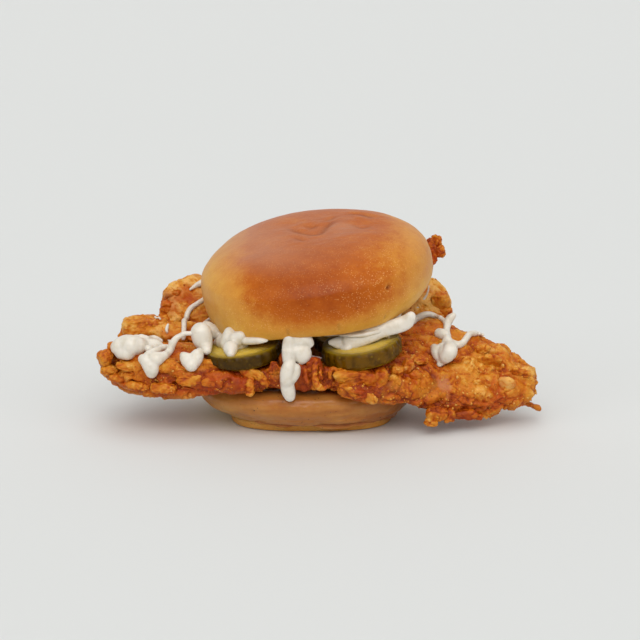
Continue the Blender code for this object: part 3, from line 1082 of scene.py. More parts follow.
@dataclass(frozen=True)
class CreamFinish:
    """White cream sauce: thick, smooth and faintly warm."""

    body: str = "E0DACE"
    shade: str = "D6CEBE"
    roughness: float = 0.32

    def material(self) -> Material:
        """Mixes the colours and sets the shader.

        Returns:
            The finished material.
        """
        make = Recipe("cream_sauce")
        colour = make.mix(make.step(make.noise(3.5, 3), 0.42, 0.68), self.body, self.shade)
        skin = make.bump(make.noise(1.6, 3), 0.07)
        make.set(Base_Color=colour, Normal=skin, Roughness=self.roughness)
        make.set(Specular_IOR_Level=0.45, Coat_Weight=0.1, Coat_Roughness=0.15)
        make.glow(0.25, (1.0, 0.85, 0.65), 1.8)
        return make.material


@dataclass(frozen=True)
class PickleFinish:
    """Pickle: a dark olive rind round wet, paler flesh with a ring of seeds, and painted shade on the rind of
    a slice that lies in shadow.
    """

    rind: str = "684600"
    rind_dark: str = "523600"
    flesh: str = "CCAC42"
    seed: str = "CBB058"
    flesh_rim: str = "8A7014"
    wart: str = "A88A22"
    # The colour of the painted shade on a rind in the crown's shadow.
    shade: str = "2C1E00"
    roughness: float = 0.3

    def material(self) -> Material:
        """Mixes the colours and sets the shader.

        Returns:
            The finished material.
        """
        make = Recipe("pickle_flesh")
        rind = make.mix(make.step(make.noise(3.2, 4), 0.40, 0.62), self.rind, self.rind_dark)
        flesh = make.mix(make.step(make.noise(2.4, 3), 0.45, 0.65), self.flesh, self.seed)
        flesh = make.mix(make.step(make.mark("share"), 0.70, 0.93), flesh, self.flesh_rim)
        colour = make.mix(make.mark("rind"), flesh, rind)
        wart = make.times(make.step(make.cells(2.3), 0.30, 0.10), make.mark("rind"))
        colour = make.mix(make.times(wart, 0.25), colour, self.wart)
        # Painted shade on the rind, by the shade mark.
        colour = make.mix(make.mark("shade"), colour, self.shade)
        skin = make.bump(make.noise(1.0, 3), 0.08)
        make.set(Base_Color=colour, Normal=make.bump(make.cells(2.3), 0.12, skin))
        make.set(Roughness=self.roughness, Specular_IOR_Level=0.14)
        make.set(Coat_Weight=0.04, Coat_Roughness=0.12)
        make.glow(0.15, (0.9, 0.8, 0.05))
        return make.material


@dataclass(frozen=True)
class PepperFinish:
    """Flakes of black pepper."""

    dark: str = "2A130A"
    light: str = "5B3418"

    def material(self) -> Material:
        """Mixes the colours and sets the shader.

        Returns:
            The finished material.
        """
        make = Recipe("pepper")
        colour = make.mix(make.step(make.noise(0.7, 2), 0.4, 0.6), self.dark, self.light)
        make.set(Base_Color=colour, Roughness=0.6, Normal=make.bump(make.noise(0.3, 2), 0.05))
        return make.material


@dataclass(frozen=True)
class FloorFinish:
    """The studio's pale floor."""

    colour: str = "DEE0DF"

    def material(self) -> Material:
        """Mixes the colours and sets the shader.

        Returns:
            The finished material.
        """
        make = Recipe("floor_paint")
        make.set(Base_Color=linear(self.colour), Roughness=0.7, Specular_IOR_Level=0.2)
        return make.material


# ----- Crust -----


@dataclass(frozen=True)
class Relief:
    """The fine shape of fried crust, as heights in millimetres over a smooth skin.

    Attributes:
        billows: Width and rise of each layer of rounded lobes, which meet in creases.
        stretch: How much longer the lobes are than wide, along X.
        knob: Width and rise of the scattered knobs.
        grit: Width and rise of the crumbs that are baked into the skin.
        crack: Width of the net of cracks, and how deep they go.
        cover: Which share of the skin carries knobs, from 0 to 1.
        seed: Which crust.
    """

    billows: tuple[tuple[float, float], ...]
    stretch: float
    knob: tuple[float, float]
    grit: tuple[float, float]
    crack: tuple[float, float]
    cover: float
    seed: int

    # The lobes' backs are painted lighter, partly their own browning and partly painted light; the valleys
    # are painted darker, as painted shade in the hollows.
    BACK_TONES = (0.36, 0.26, 0.14)  # how much the backs of each layer's lobes are lighter
    VALLEY_TONES = (0.15, 0.12, 0.04)  # how much the valleys between them are darker

    def heights(self, points: Array) -> tuple[Array, Array]:
        """The relief at places, and the crust's tone there.

        Lobes are |noise|^0.85, which has round backs and narrow valleys, and they are calm in
        some places and rough in others. Knobs and grit are domes sqrt(1 - (d / 0.82)^2) round
        scattered seeds, pinched in where two cells meet. Cracks follow the zero line of
        another noise.

        Args:
            points: Places in millimetres.

        Returns:
            The rise, and a tone from 0 (dark crevice, painted shade) to 1 (golden knob, partly painted
            light).
        """
        seed = self.seed * 101
        warp = np.stack([layered_noise(points, 6.5, seed + k, 2) for k in range(3)], -1)
        fray = np.stack([gradient_noise(points, 2.2, seed + 40 + k) for k in range(3)], -1)
        bent = points + 2.4 * warp + 0.7 * fray
        drawn = bent / np.array([self.stretch, 1.0, 1.0])
        rise = 0.16 * gradient_noise(points, 1.1, seed + 12)
        tone = 0.46 + 0.22 * layered_noise(points, 9.0, seed + 13, 3)
        rough = 0.35 + 0.9 * smooth_step(layered_noise(points, 12.0, seed + 30, 2), -0.3, 0.35)
        for layer, (width, height) in enumerate(self.billows):
            noise = gradient_noise(drawn, width, seed + 20 + layer)
            lobe = np.sqrt(noise**2 + 0.0009) ** 0.85
            force = 1.0 if layer == 0 else rough
            rise = rise + force * height * 1.5 * (lobe - 0.36)
            # Painted light on the lobes' backs and painted shade in the valleys, over their own browning.
            tone = tone + force * self.BACK_TONES[layer] * (lobe - 0.38)
            valley = bell(lobe, 0.0, 0.14)
            tone = tone - force * self.VALLEY_TONES[layer] * valley
        knob_near, knob_next, knob_name = cell_noise(bent, self.knob[0], seed + 5)
        patchy = smooth_step(layered_noise(points, 11.0, seed + 7, 2), 0.45 - self.cover, 0.8 - self.cover)
        knob = self.dome(knob_near, knob_next) * smooth_step(knob_name, 0.3, 0.9) * patchy
        grit_near, grit_next, grit_name = cell_noise(bent, self.grit[0], seed + 6)
        grit = self.dome(grit_near, grit_next) * smooth_step(grit_name, 0.35, 0.95) * rough
        crack_line = gradient_noise(drawn, self.crack[0], seed + 10)
        crack_here = smooth_step(layered_noise(points, 13.0, seed + 11, 2), -0.1, 0.35)
        crack = bell(crack_line, 0.0, 0.05) * crack_here
        rise = rise + self.knob[1] * knob + self.grit[1] * grit - self.crack[1] * crack
        # Knobs are painted lighter, partly as painted light on what stands out, and cracks are painted
        # darker, as painted shade.
        tone = tone + 0.2 * knob + 0.16 * grit * (2 * grit_name - 1) - 0.34 * crack
        return rise, np.clip(tone, 0.0, 1.0)

    @staticmethod
    def dome(nearest: Array, following: Array) -> Array:
        """A round top over each cell, pinched along the line where two cells meet."""
        top = np.sqrt(np.clip(1 - (nearest / 0.82) ** 2, 0, 1))
        return top * smooth_step(following - nearest, 0.0, 0.22)


class Crumb(Enum):
    """The kinds of fried crust, each with its relief."""

    GRAINY = Relief(
        billows=((10.0, 2.2), (4.2, 0.75), (1.9, 0.3)), stretch=1.3, knob=(3.0, 0.7),
        grit=(1.5, 0.34), crack=(9.0, 0.9), cover=0.5, seed=1,
    )
    FOLDED = Relief(
        billows=((8.5, 2.4), (4.4, 0.8), (2.0, 0.22)), stretch=2.7, knob=(3.0, 0.4),
        grit=(1.6, 0.25), crack=(8.0, 1.4), cover=0.35, seed=2,
    )
    SMOOTH = Relief(
        billows=((11.0, 1.9), (4.6, 0.66), (2.1, 0.26)), stretch=1.3, knob=(3.2, 0.55),
        grit=(1.5, 0.3), crack=(10.0, 0.9), cover=0.45, seed=3,
    )
    BITS = Relief(
        billows=((5.5, 0.5), (2.4, 0.3), (1.3, 0.16)), stretch=1.2, knob=(2.0, 0.25),
        grit=(1.2, 0.22), crack=(6.0, 0.4), cover=0.5, seed=4,
    )


@dataclass(frozen=True)
class Chunk:
    """A bit of batter that stands out from a fillet.

    Attributes:
        place: Its middle in millimetres.
        half_sizes: Half its width, depth and height.
        turn: Degrees about X, Y and Z.
        squareness: 2 is round, 4 is blocky.
        tint: What is added to its tone; the dark tints under the crown's front and low down are painted
            shade.
        meat: 1 where bare meat shows.
        rough: How much of the bits' relief it carries.
    """

    place: Triple
    half_sizes: Triple
    turn: Triple = (0.0, 0.0, 0.0)
    squareness: float = 2.6
    tint: float = 0.0
    meat: float = 0.0
    rough: float = 1.0

    def surface(self) -> Surface:
        """The chunk's skin: a superellipsoid bent by broad noise, with fine relief on it.

        Returns:
            The surface with tone and meat marks.
        """
        plain = lump_surface(self.half_sizes, self.place, self.turn, self.squareness)
        bent = plain.pushed(0.34 * min(self.half_sizes) * layered_noise(plain.points, 4.5, 911, 2))
        rise, tone = Crumb.BITS.value.heights(bent.points)
        marks = {"tone": np.clip(tone + self.tint, 0, 1), "meat": np.full(tone.shape, self.meat)}
        return Surface(bent.pushed(rise * self.rough).points, marks)


@dataclass(frozen=True)
class Curl:
    """A thin lip of batter that hangs or curls.

    Attributes:
        stations: Places along it with their radii.
        flatten: Its thickness over its width.
        tint: What is added to its tone.
    """

    stations: tuple[Station, ...]
    flatten: float = 0.8
    tint: float = 0.0

    def surface(self) -> Surface:
        """The curl's skin: a fat line with fine relief on it.

        Returns:
            The surface with tone and meat marks.
        """
        plain = tube_surface(self.stations, self.flatten)
        rise, tone = Crumb.BITS.value.heights(plain.points)
        marks = {"tone": np.clip(tone + 0.05 + self.tint, 0, 1), "meat": np.zeros(tone.shape)}
        return Surface(plain.pushed(rise * 0.5).points, marks)


@dataclass
class Fillet:
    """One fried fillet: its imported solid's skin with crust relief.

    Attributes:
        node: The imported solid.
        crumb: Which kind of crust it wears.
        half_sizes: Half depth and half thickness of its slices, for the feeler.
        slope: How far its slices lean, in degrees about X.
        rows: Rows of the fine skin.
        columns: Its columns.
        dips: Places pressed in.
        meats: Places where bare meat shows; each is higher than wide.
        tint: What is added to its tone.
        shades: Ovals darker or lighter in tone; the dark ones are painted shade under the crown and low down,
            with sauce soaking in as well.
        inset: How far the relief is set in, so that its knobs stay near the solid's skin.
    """

    node: str
    crumb: Crumb
    half_sizes: tuple[float, float]
    slope: float
    rows: int
    columns: int = 250
    dips: tuple[Spot, ...] = ()
    meats: tuple[Station, ...] = ()
    tint: float = 0.0
    shades: tuple[Shade, ...] = ()
    inset: float = 0.35

    def surface(self) -> Surface:
        """The fillet's crust, with its dips, its bare meat and its shades.

        Returns:
            The surface with tone and meat marks.
        """
        deep, thick = self.half_sizes
        feeler = Feeler((0.8 * thick, deep, thick), (self.slope, 0, 0), (60, 56), (self.rows, self.columns))
        plain = feeler.skin_from_line(node_triangles(self.node))
        rise, tone = self.crumb.value.heights(plain.points)
        meat = np.zeros(tone.shape)
        for *place, radius, depth in self.dips:
            near = near_share(plain.points, place, radius)
            rise = rise - depth * near
            tone = tone - 0.25 * near * np.sign(depth)
        for *place, radius in self.meats:
            apart = np.sqrt((((plain.points - place) / (0.8, 1.0, 1.7)) ** 2).sum(-1))
            bare = smooth_step(apart + 1.8 * layered_noise(plain.points, 3.0, 77, 2), radius, 0.5 * radius)
            rise = rise * (1 - 0.8 * bare) - 0.7 * bare
            meat = np.maximum(meat, bare)
        # Painted shade: each oval adds to the tone, darkest under the crown's front.
        for *outline, more in self.shades:
            tone = tone + more * oval_share(plain.points, *outline)
        rise = rise - self.inset
        tone = np.clip(tone + self.tint, 0, 1)
        return Surface(plain.pushed(rise).points, {"tone": tone, "meat": meat})


# ----- Scatter -----


def icosahedron() -> tuple[Array, Array]:
    """A unit icosahedron from three golden rectangles.

    Returns:
        Its 12 corners and its 20 faces, which point outwards.
    """
    golden = (1 + math.sqrt(5)) / 2
    corners = [(0, s, t * golden) for s in (-1, 1) for t in (-1, 1)]
    corners += [(s, t * golden, 0) for s in (-1, 1) for t in (-1, 1)]
    corners += [(t * golden, 0, s) for s in (-1, 1) for t in (-1, 1)]
    points = np.array(corners, float)
    apart = np.linalg.norm(points[:, None] - points[None], axis=-1)
    near = np.abs(apart - 2.0) < 1e-6
    faces = [
        (i, j, k)
        for i in range(12) for j in range(i + 1, 12) for k in range(j + 1, 12)
        if near[i, j] and near[j, k] and near[i, k]
    ]
    index = np.array(faces)
    a, b, c = (points[index[:, k]] for k in range(3))
    inward = (np.cross(b - a, c - a) * a).sum(-1) < 0
    index[inward] = index[inward][:, ::-1]
    return unit(points), index


@dataclass(frozen=True)
class Scatter:
    """Small grains set on a shape: icosahedra, squashed, turned and half sunk.

    Attributes:
        count: How many are tried.
        sizes: The least and the greatest radius in millimetres.
        flat: Thickness over width.
        sunk: How deep each one's middle lies under the skin, over its radius.
        seed: Which scatter.
        tone: The least and the greatest tone mark.
    """

    count: int
    sizes: tuple[float, float]
    flat: float
    sunk: float
    seed: int
    tone: tuple[float, float] = (0.3, 0.9)

    def over(self, shape: Shape, keep: Callable[[Array, Array], Array]) -> Shape:
        """Grains on a shape's triangles, each triangle chosen in step with its area.

        Args:
            shape: What they lie on.
            keep: Takes the places and normals and says which grains stay.

        Returns:
            All the grains as one shape with a tone mark.
        """
        rng = np.random.default_rng(self.seed)
        corners = shape.points[shape.faces]
        cross = np.cross(corners[:, 1] - corners[:, 0], corners[:, 2] - corners[:, 0])
        area = np.linalg.norm(cross, axis=1)
        chosen = rng.choice(len(area), self.count, p=area / area.sum())
        shares = rng.dirichlet((1, 1, 1), self.count)
        places = (corners[chosen] * shares[..., None]).sum(1)
        normals = unit(cross[chosen])
        stay = keep(places, normals)
        places, normals = places[stay], normals[stay]
        low, high = self.sizes
        radius = low + (high - low) * rng.random(len(places)) ** 2.2
        ball, faces = icosahedron()
        side = unit(np.cross(normals, rng.normal(size=normals.shape)))
        other = np.cross(normals, side)
        jitter = 1 + 0.22 * rng.normal(size=(len(places), len(ball)))
        local = ball[None] * jitter[..., None] * radius[:, None, None]
        points = (
            local[..., :1] * side[:, None] * 1.15
            + local[..., 1:2] * other[:, None]
            + local[..., 2:] * self.flat * normals[:, None]
            + (places - normals * (radius * self.sunk)[:, None])[:, None]
        )
        index = faces[None] + (np.arange(len(places)) * len(ball))[:, None, None]
        tones = rng.uniform(*self.tone, len(places))
        marks = {"tone": np.repeat(tones, len(ball))}
        return Shape(points.reshape(-1, 3), index.reshape(-1, 3), marks)


# ----- Bread, sauce and pickles -----


@dataclass
class Heel:
    """The lower bun and the tan sauce over it.

    Attributes:
        centre: A point inside the bun that sees all of it.
        half_sizes: Half the bun's width, depth and height.
        rays: Rows and columns of rays that feel it out.
        coat: How thick the sauce lies.
        lip: How much thicker its lower edge is.
        drop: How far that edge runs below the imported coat's.
        bare: How much higher it ends at one side, and that place's middle and half arc in degrees.
        crease: Height of the long crease in the sauce in front, and its depth.
    """

    centre: Triple = (-1.0, 0.0, 8.6)
    half_sizes: Triple = (47.0, 44.0, 9.0)
    rays: tuple[int, int] = (72, 64)
    coat: float = 2.0
    lip: float = 0.5
    drop: float = 0.4
    bare: Triple = (3.0, 206.0, 17.0)
    crease: tuple[float, float] = (5.4, 0.8)

    def feeler(self, rows: int, columns: int) -> Feeler:
        """The feeler for a boxy puck."""
        return Feeler(self.half_sizes, coarse=self.rays, fine=(rows, columns), squareness=0.72)

    def bread(self) -> Surface:
        """The bun's skin: pressed strata and small dimples round its side.

        Returns:
            The surface, with a pale mark where the crumb is light.
        """
        plain = self.feeler(120, 360).skin_from_point(node_triangles("bun_heel"), np.array(self.centre))
        points = plain.points
        low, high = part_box("bun_heel")
        height = points[..., 2]
        side = smooth_step(height, 0.4, 2.0)
        strata = layered_noise(points * np.array([0.25, 0.25, 1.6]), 4.0, 31, 3)
        dimple = layered_noise(points, 2.6, 32, 2)
        rise = side * (0.45 * strata + 0.2 * dimple)
        rise = rise - 0.5 * bell(height, 4.2, 0.8) * side
        pale = 0.25 + 0.75 * smooth_step(height, 2.0, 6.5) - 0.35 * smooth_step(height, 11.0, high.z / MM)
        made = plain.pushed(rise)
        made.points[..., 2] = np.maximum(made.points[..., 2], low.z / MM)
        made.marks["pale"] = np.clip(pale + 0.15 * strata, 0, 1)
        return made

    def rim(self, columns: int) -> Array:
        """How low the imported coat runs, evened out round the bun.

        Args:
            columns: How many columns the sauce's skin has.

        Returns:
            The height of its lower edge for each column.
        """
        middle = np.array(self.centre)
        corners = node_triangles("sauce_coat").reshape(-1, 3) - middle
        wide, deep, _ = self.half_sizes
        sectors = self.rays[1]
        angle = np.arctan2(corners[:, 1], corners[:, 0])
        outside = np.hypot(corners[:, 0] / wide, corners[:, 1] / deep) > 0.7
        wanted = np.arange(sectors) / sectors * 2 * math.pi
        apart = np.abs((angle[:, None] - wanted[None] + math.pi) % (2 * math.pi) - math.pi)
        height = np.where((apart < 0.13) & outside[:, None], corners[:, 2:3] + middle[2], np.inf)
        lowest = height.min(axis=0)
        return spline_weights(sectors, np.arange(columns) / columns, closed=True) @ lowest

    def sauce(self) -> Surface:
        """The sauce: the bun's skin moved out above a wavy rim and in below it.

        The thickness is coat + lip exp(-((h - 1.4) / 1.2)^2) at a height h above the rim, and it
        falls to a little under the bread's skin within the last millimetre.

        Returns:
            The closed surface, with a thin mark: lighter where bread shows through, darker along the crease
                as painted shade, and lighter towards the left and darker towards the right.
        """
        rows, columns = 200, 400
        plain = self.feeler(rows, columns).skin_from_point(node_triangles("bun_heel"), np.array(self.centre))
        points = plain.points
        angle = np.arange(columns) / columns * 2 * math.pi
        ring = np.stack([np.cos(angle), np.sin(angle), 0 * angle], -1) * 45.0
        tongue = 1.1 * layered_noise(ring, 14.0, 41, 3) + 0.5 * layered_noise(ring, 4.0, 42, 2)
        more, side, arc = self.bare
        rim = self.rim(columns) + tongue - self.drop + more * bell(np.degrees(angle), side, arc)
        above = points[..., 2] - rim[None, :]
        cover = smooth_step(above, -0.3, 0.9)
        thick = self.coat + self.lip * bell(above, 1.4, 1.2)
        ripple = layered_noise(points * np.array([0.4, 0.4, 1.3]), 6.0, 43, 3)
        wavelet = layered_noise(points, 3.0, 44, 2)
        front = smooth_step(-points[..., 1], 10.0, 30.0)
        line = self.crease[0] + 0.9 * layered_noise(points * np.array([1, 0, 0]), 17.0, 45, 2)
        fold = self.crease[1] * bell(points[..., 2] - line, 0.0, 0.75) * front
        swell = 0.5 * bell(points[..., 2] - line, 2.6, 1.6) * front
        skin = thick + 0.55 * ripple + 0.14 * wavelet - fold + swell
        made = plain.pushed(cover * skin - (1 - cover) * 1.6)
        left = smooth_step(-points[..., 0], -4.0, 26.0)
        right = smooth_step(points[..., 0], 8.0, 32.0)
        # The crease is painted darker, as painted shade in the fold.
        thin = 0.18 * ripple + 0.25 * smooth_step(above, 1.2, 0.2) - 0.5 * fold
        thin = thin + (0.16 * left - 0.12 * right)
        made.marks["thin"] = np.clip(thin, -1, 1)
        made.points[..., 2] = np.maximum(made.points[..., 2], 0.25)
        return made


@dataclass(frozen=True)
class Crease:
    """A fold line in the crown's skin.

    Attributes:
        places: Places along it.
        width: Half its width.
        depth: Its depth.
        plan: Whether it is drawn straight down onto the top, whatever the height there.
    """

    places: tuple[Triple, ...]
    width: float
    depth: float
    plan: bool = True

    def apart(self, points: Array) -> tuple[Array, Array]:
        """How far points lie from the line, and a share that fades at the line's ends.

        Args:
            points: Places in millimetres.

        Returns:
            Distance over width, and the fade.
        """
        path = along_path(np.array(self.places, float), 8)
        share = np.linspace(0, 1, len(path))
        nearest = np.full(points.shape[:-1], np.inf)
        spot = np.zeros(points.shape[:-1])
        counted = np.array([1.0, 1.0, 0.0 if self.plan else 1.0])
        for place, at in zip(path, share):
            apart = (((points - place) * counted) ** 2).sum(-1)
            spot = np.where(apart < nearest, at, spot)
            nearest = np.minimum(nearest, apart)
        fade = smooth_step(0.5 - np.abs(spot - 0.5), -0.05, 0.3)
        if self.plan:
            fade = fade * smooth_step(points[..., 2], 70.0, 76.0)
        return np.sqrt(nearest) / self.width, fade


@dataclass
class Crown:
    """The upper bun: a glazed dome with a pinched, wrinkled top.

    Attributes:
        lean: Degrees about X and Y by which it leans.
        centre: A point inside it.
        creases: The fold lines of its top and front.
        dents: Soft hollows.
        pores: Small holes.
    """

    lean: Triple = (11.0, -10.2, 0.0)
    centre: Triple = (3.0, 0.0, 64.0)
    creases: tuple[Crease, ...] = (
        Crease(((-11.4, 1.7, 85), (-7.8, -2.4, 85), (-4.2, -6.4, 84), (0.6, -9.4, 84), (4.5, -7.9, 85),
                (7.2, -2.5, 87), (10.7, 1.7, 88), (14.7, 5.4, 89)), 2.1, 0.68),
        Crease(((-7.6, -13.6, 83), (-4.1, -17.5, 83), (-1.5, -20.3, 82)), 1.3, 0.4),
        Crease(((5.4, 4.0, 88), (9.0, 6.5, 89), (12.0, 12.0, 89)), 1.8, 0.45),
        Crease(((15.7, 11.0, 90), (20.7, 12.6, 90), (25.1, 9.3, 90), (29.0, 4.0, 89)), 2.2, 0.7),
        Crease(((18.6, -2.6, 88), (22.9, -6.4, 88), (27.0, -4.0, 88)), 1.6, 0.35),
        Crease(((-3.0, 2.0, 86), (1.0, -1.0, 86), (3.0, 1.0, 87)), 1.8, 0.4),
        Crease(((-13, -40.4, 70.1), (-8.0, -41.4, 71.1), (-3.8, -42.2, 71.3), (1.4, -43.0, 71.4)),
               0.7, 0.28, False),
        Crease(((31.6, -38.8, 54.6), (32.0, -38.0, 52.0), (32.3, -37.4, 49.0)), 0.7, 0.45, False),
        Crease(((-9.2, -47.6, 50.0), (-8.8, -46.4, 47.2), (-8.8, -44.8, 45.4)), 0.8, 0.5, False),
        Crease(((12.0, -47.5, 52.4), (12.4, -46.3, 49.8), (12.6, -44.8, 47.8)), 0.8, 0.4, False),
        Crease(((-30.0, -37, 50.5), (-29.5, -36, 48), (-29.2, -34.5, 45.5)), 0.7, 0.4, False),
        Crease(((-24.0, -41, 51.0), (-23.4, -39.5, 48), (-23.2, -38, 45.4)), 0.7, 0.45, False),
        Crease(((-17.0, -44.5, 50.5), (-16.4, -43.2, 47.6), (-16.2, -42, 45.4)), 0.6, 0.35, False),
    )
    dents: tuple[Spot, ...] = (
        (-27.0, -18.5, 76.8, 7.5, 0.75), (6.0, -11.0, 85.5, 8.0, 1.4), (22.5, -4.0, 88.2, 6.5, 1.1),
        (8.0, 10.0, 89.0, 9.0, 0.9), (-10.0, 6.0, 86.5, 7.0, 0.7), (30.0, -6.0, 86.9, 8.0, 0.5),
    )
    pores: tuple[Spot, ...] = (
        (33.3, -40.2, 65.5, 0.95, 2.0), (-15.0, -44.0, 62.0, 0.35, 0.3), (20.0, -47.0, 58.0, 0.3, 0.3),
    )

    def surface(self) -> Surface:
        """The crown's skin with its creases, dents and marks for the bake.

        Returns:
            The surface with bake, fleck, crease and painted sheen marks.
        """
        feeler = Feeler((51.0, 51.0, 24.0), self.lean, (64, 64), (230, 360), 0.86)
        plain = feeler.skin_from_point(node_triangles("bun_crown"), np.array(self.centre))
        points = plain.points
        local = self.local(points)
        low, high = local[..., 2].min(), local[..., 2].max()
        height = (local[..., 2] - low) / (high - low)
        from_top = np.hypot(local[..., 0] - 6, local[..., 1] + 2)
        top = smooth_step(from_top, 34.0, 12.0) * smooth_step(height, 0.6, 0.85)
        rise = 0.35 * layered_noise(points, 26.0, 51, 2) + 0.05 * layered_noise(points, 3.2, 52, 3)
        rise = rise + top * (0.55 * layered_noise(local * np.array([0.6, 1.15, 1.0]), 9.0, 53, 3))
        mark = np.zeros(rise.shape)
        for crease in self.creases:
            apart, fade = crease.apart(points)
            rise = rise - crease.depth * fade * bell(apart, 0.0, 1.0)
            rise = rise + 0.45 * crease.depth * fade * np.exp(-((apart - 2.2) ** 2) / 1.2)
            mark = np.maximum(mark, fade * bell(1.5 * apart, 0.0, 1.0) * min(1.0, crease.depth))
        for *place, radius, depth in self.dents:
            rise = rise - depth * near_share(points, place, radius)
        made = plain.pushed(rise)
        for *place, radius, depth in self.pores:
            near = near_share(points, place, radius)
            made = made.pushed(-depth * near)
            mark = np.maximum(mark, near)
        made.marks = {
            "bake": self.bake(points, local, height),
            "bloom": self.bloom(points, height),
            "crease": mark,
            "fleck": self.fleck(points),
        }
        return made

    def local(self, points: Array) -> Array:
        """Places in the crown's own upright frame.

        Args:
            points: Places in the row frame.

        Returns:
            The same places from the crown's centre, with its lean undone.
        """
        back = points - np.array(self.centre)
        back = turned(back, (0.0, -self.lean[1], 0.0))
        return turned(back, (-self.lean[0], 0.0, 0.0))

    def bake(self, points: Array, local: Array, height: Array) -> Array:
        """How brown the bread is: pale at the rim, deepest on the front of the dome, and paler on the left
        and right sides, which is partly painted light where the side lamps fall.

        Args:
            points: Places in the row frame.
            local: Places in the crown's frame.
            height: Share of the crown's height.

        Returns:
            The bake, from 0 to 1.
        """
        up = smooth_step(height, 0.04, 0.42)
        deep = oval_share(points, 3, 65, 23, 12)
        facing = smooth_step(-local[..., 1], 5.0, 40.0)
        crest = smooth_step(height, 0.7, 0.95)
        bake = 0.21 + 0.34 * up + 0.3 * deep * facing + 0.10 * crest
        bake = bake + 0.05 * layered_noise(points, 20.0, 61, 3)
        # Paler left and right sides: partly the bread's own bake and partly painted light from the side
        # lamps.
        left = smooth_step(points[..., 0], -20.0, -44.0)
        right = smooth_step(points[..., 0], 26.0, 50.0)
        under = smooth_step(height, 0.04, 0.0)
        corner = oval_share(points, -26, 50, 15, 7) * facing
        return np.clip(bake - 0.3 * left - 0.15 * right - 0.2 * under - 0.14 * corner, 0, 1)

    def bloom(self, points: Array, height: Array) -> Array:
        """Where a greyish sheen is painted on, as a painted reflection: over the crest, down the upper left,
        at the sides.

        Args:
            points: Places in the row frame.
            height: Share of the crown's height.

        Returns:
            The painted sheen, from 0 to 1.
        """
        crest = smooth_step(height, 0.78, 0.97)
        left = oval_share(points, -24, 79, 19, 6.5)
        front = smooth_step(-points[..., 1], -2.0, 6.0)
        ridge = oval_share(points, 13, 87, 9, 2.4) * front
        sides = smooth_step(np.abs(points[..., 0] - 4.0), 26.0, 46.0) * smooth_step(height, 0.12, 0.4)
        return np.clip(0.25 * crest + 0.75 * left + 0.75 * ridge + 0.3 * sides, 0, 1)

    def fleck(self, points: Array) -> Array:
        """Where the pale flecks show: the front's right side and its lower left.

        Args:
            points: Places in the row frame.

        Returns:
            How many show, from 0 to 1.
        """
        right = oval_share(points, 30, 64, 17, 14)
        left = oval_share(points, -30, 52, 16, 7)
        return np.clip(0.4 + right + 0.7 * left, 0, 1)


@dataclass
class PickleSlice:
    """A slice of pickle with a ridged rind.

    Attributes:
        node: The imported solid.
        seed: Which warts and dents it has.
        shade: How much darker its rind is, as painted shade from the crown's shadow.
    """

    node: str
    seed: int
    shade: float = 0.0

    def surface(self) -> Surface:
        """The slice's skin: its flat faces dip between rind and core.

        Returns:
            The surface with rind, share and shade marks.
        """
        skin = node_triangles(self.node)
        corners = skin.reshape(-1, 3)
        middle = corners.mean(axis=0)
        _, _, axes = np.linalg.svd(corners - middle, full_matrices=False)
        axis = axes[2] * np.sign(axes[2][2])
        lean_x = math.degrees(math.atan2(-axis[1], axis[2]))
        lean_y = math.degrees(math.asin(np.clip(axis[0], -1, 1)))
        feeler = Feeler((16.0, 16.0, 3.4), (lean_x, lean_y, 0), (48, 72), (110, 300), 0.6)
        plain = feeler.skin_from_point(skin, middle)
        across = plain.points - middle
        height = across @ axis
        reach = np.sqrt(np.maximum((across**2).sum(-1) - height**2, 0))
        share = reach / reach.max(axis=0, keepdims=True)
        rind = smooth_step(share, 0.93, 0.985)
        angle = np.arange(reach.shape[1]) / reach.shape[1] * 2 * math.pi
        ridges = 0.22 * np.sin(22 * angle + 1.5 * np.sin(3 * angle + self.seed))[None, :] * rind
        wart = 0.16 * layered_noise(plain.points, 2.4, 70 + self.seed, 3)
        dish = -0.45 * smooth_step(share, 0.9, 0.75) + 0.25 * bell(share, 0.55, 0.1)
        made = plain.pushed(ridges + wart + dish * (1 - rind))
        made.marks = {"rind": rind, "share": share, "shade": self.shade * rind}
        return made


# ----- Cream -----

FatLine = tuple[Triple, ...]
FALL_FROM = 200.0  # how far up its line of fall, from the plane y = 0, cream starts
LEAST_HALF = 0.25  # the least half width of a line
BALL_STEP = 0.28  # from one ball to the next, over the half width there


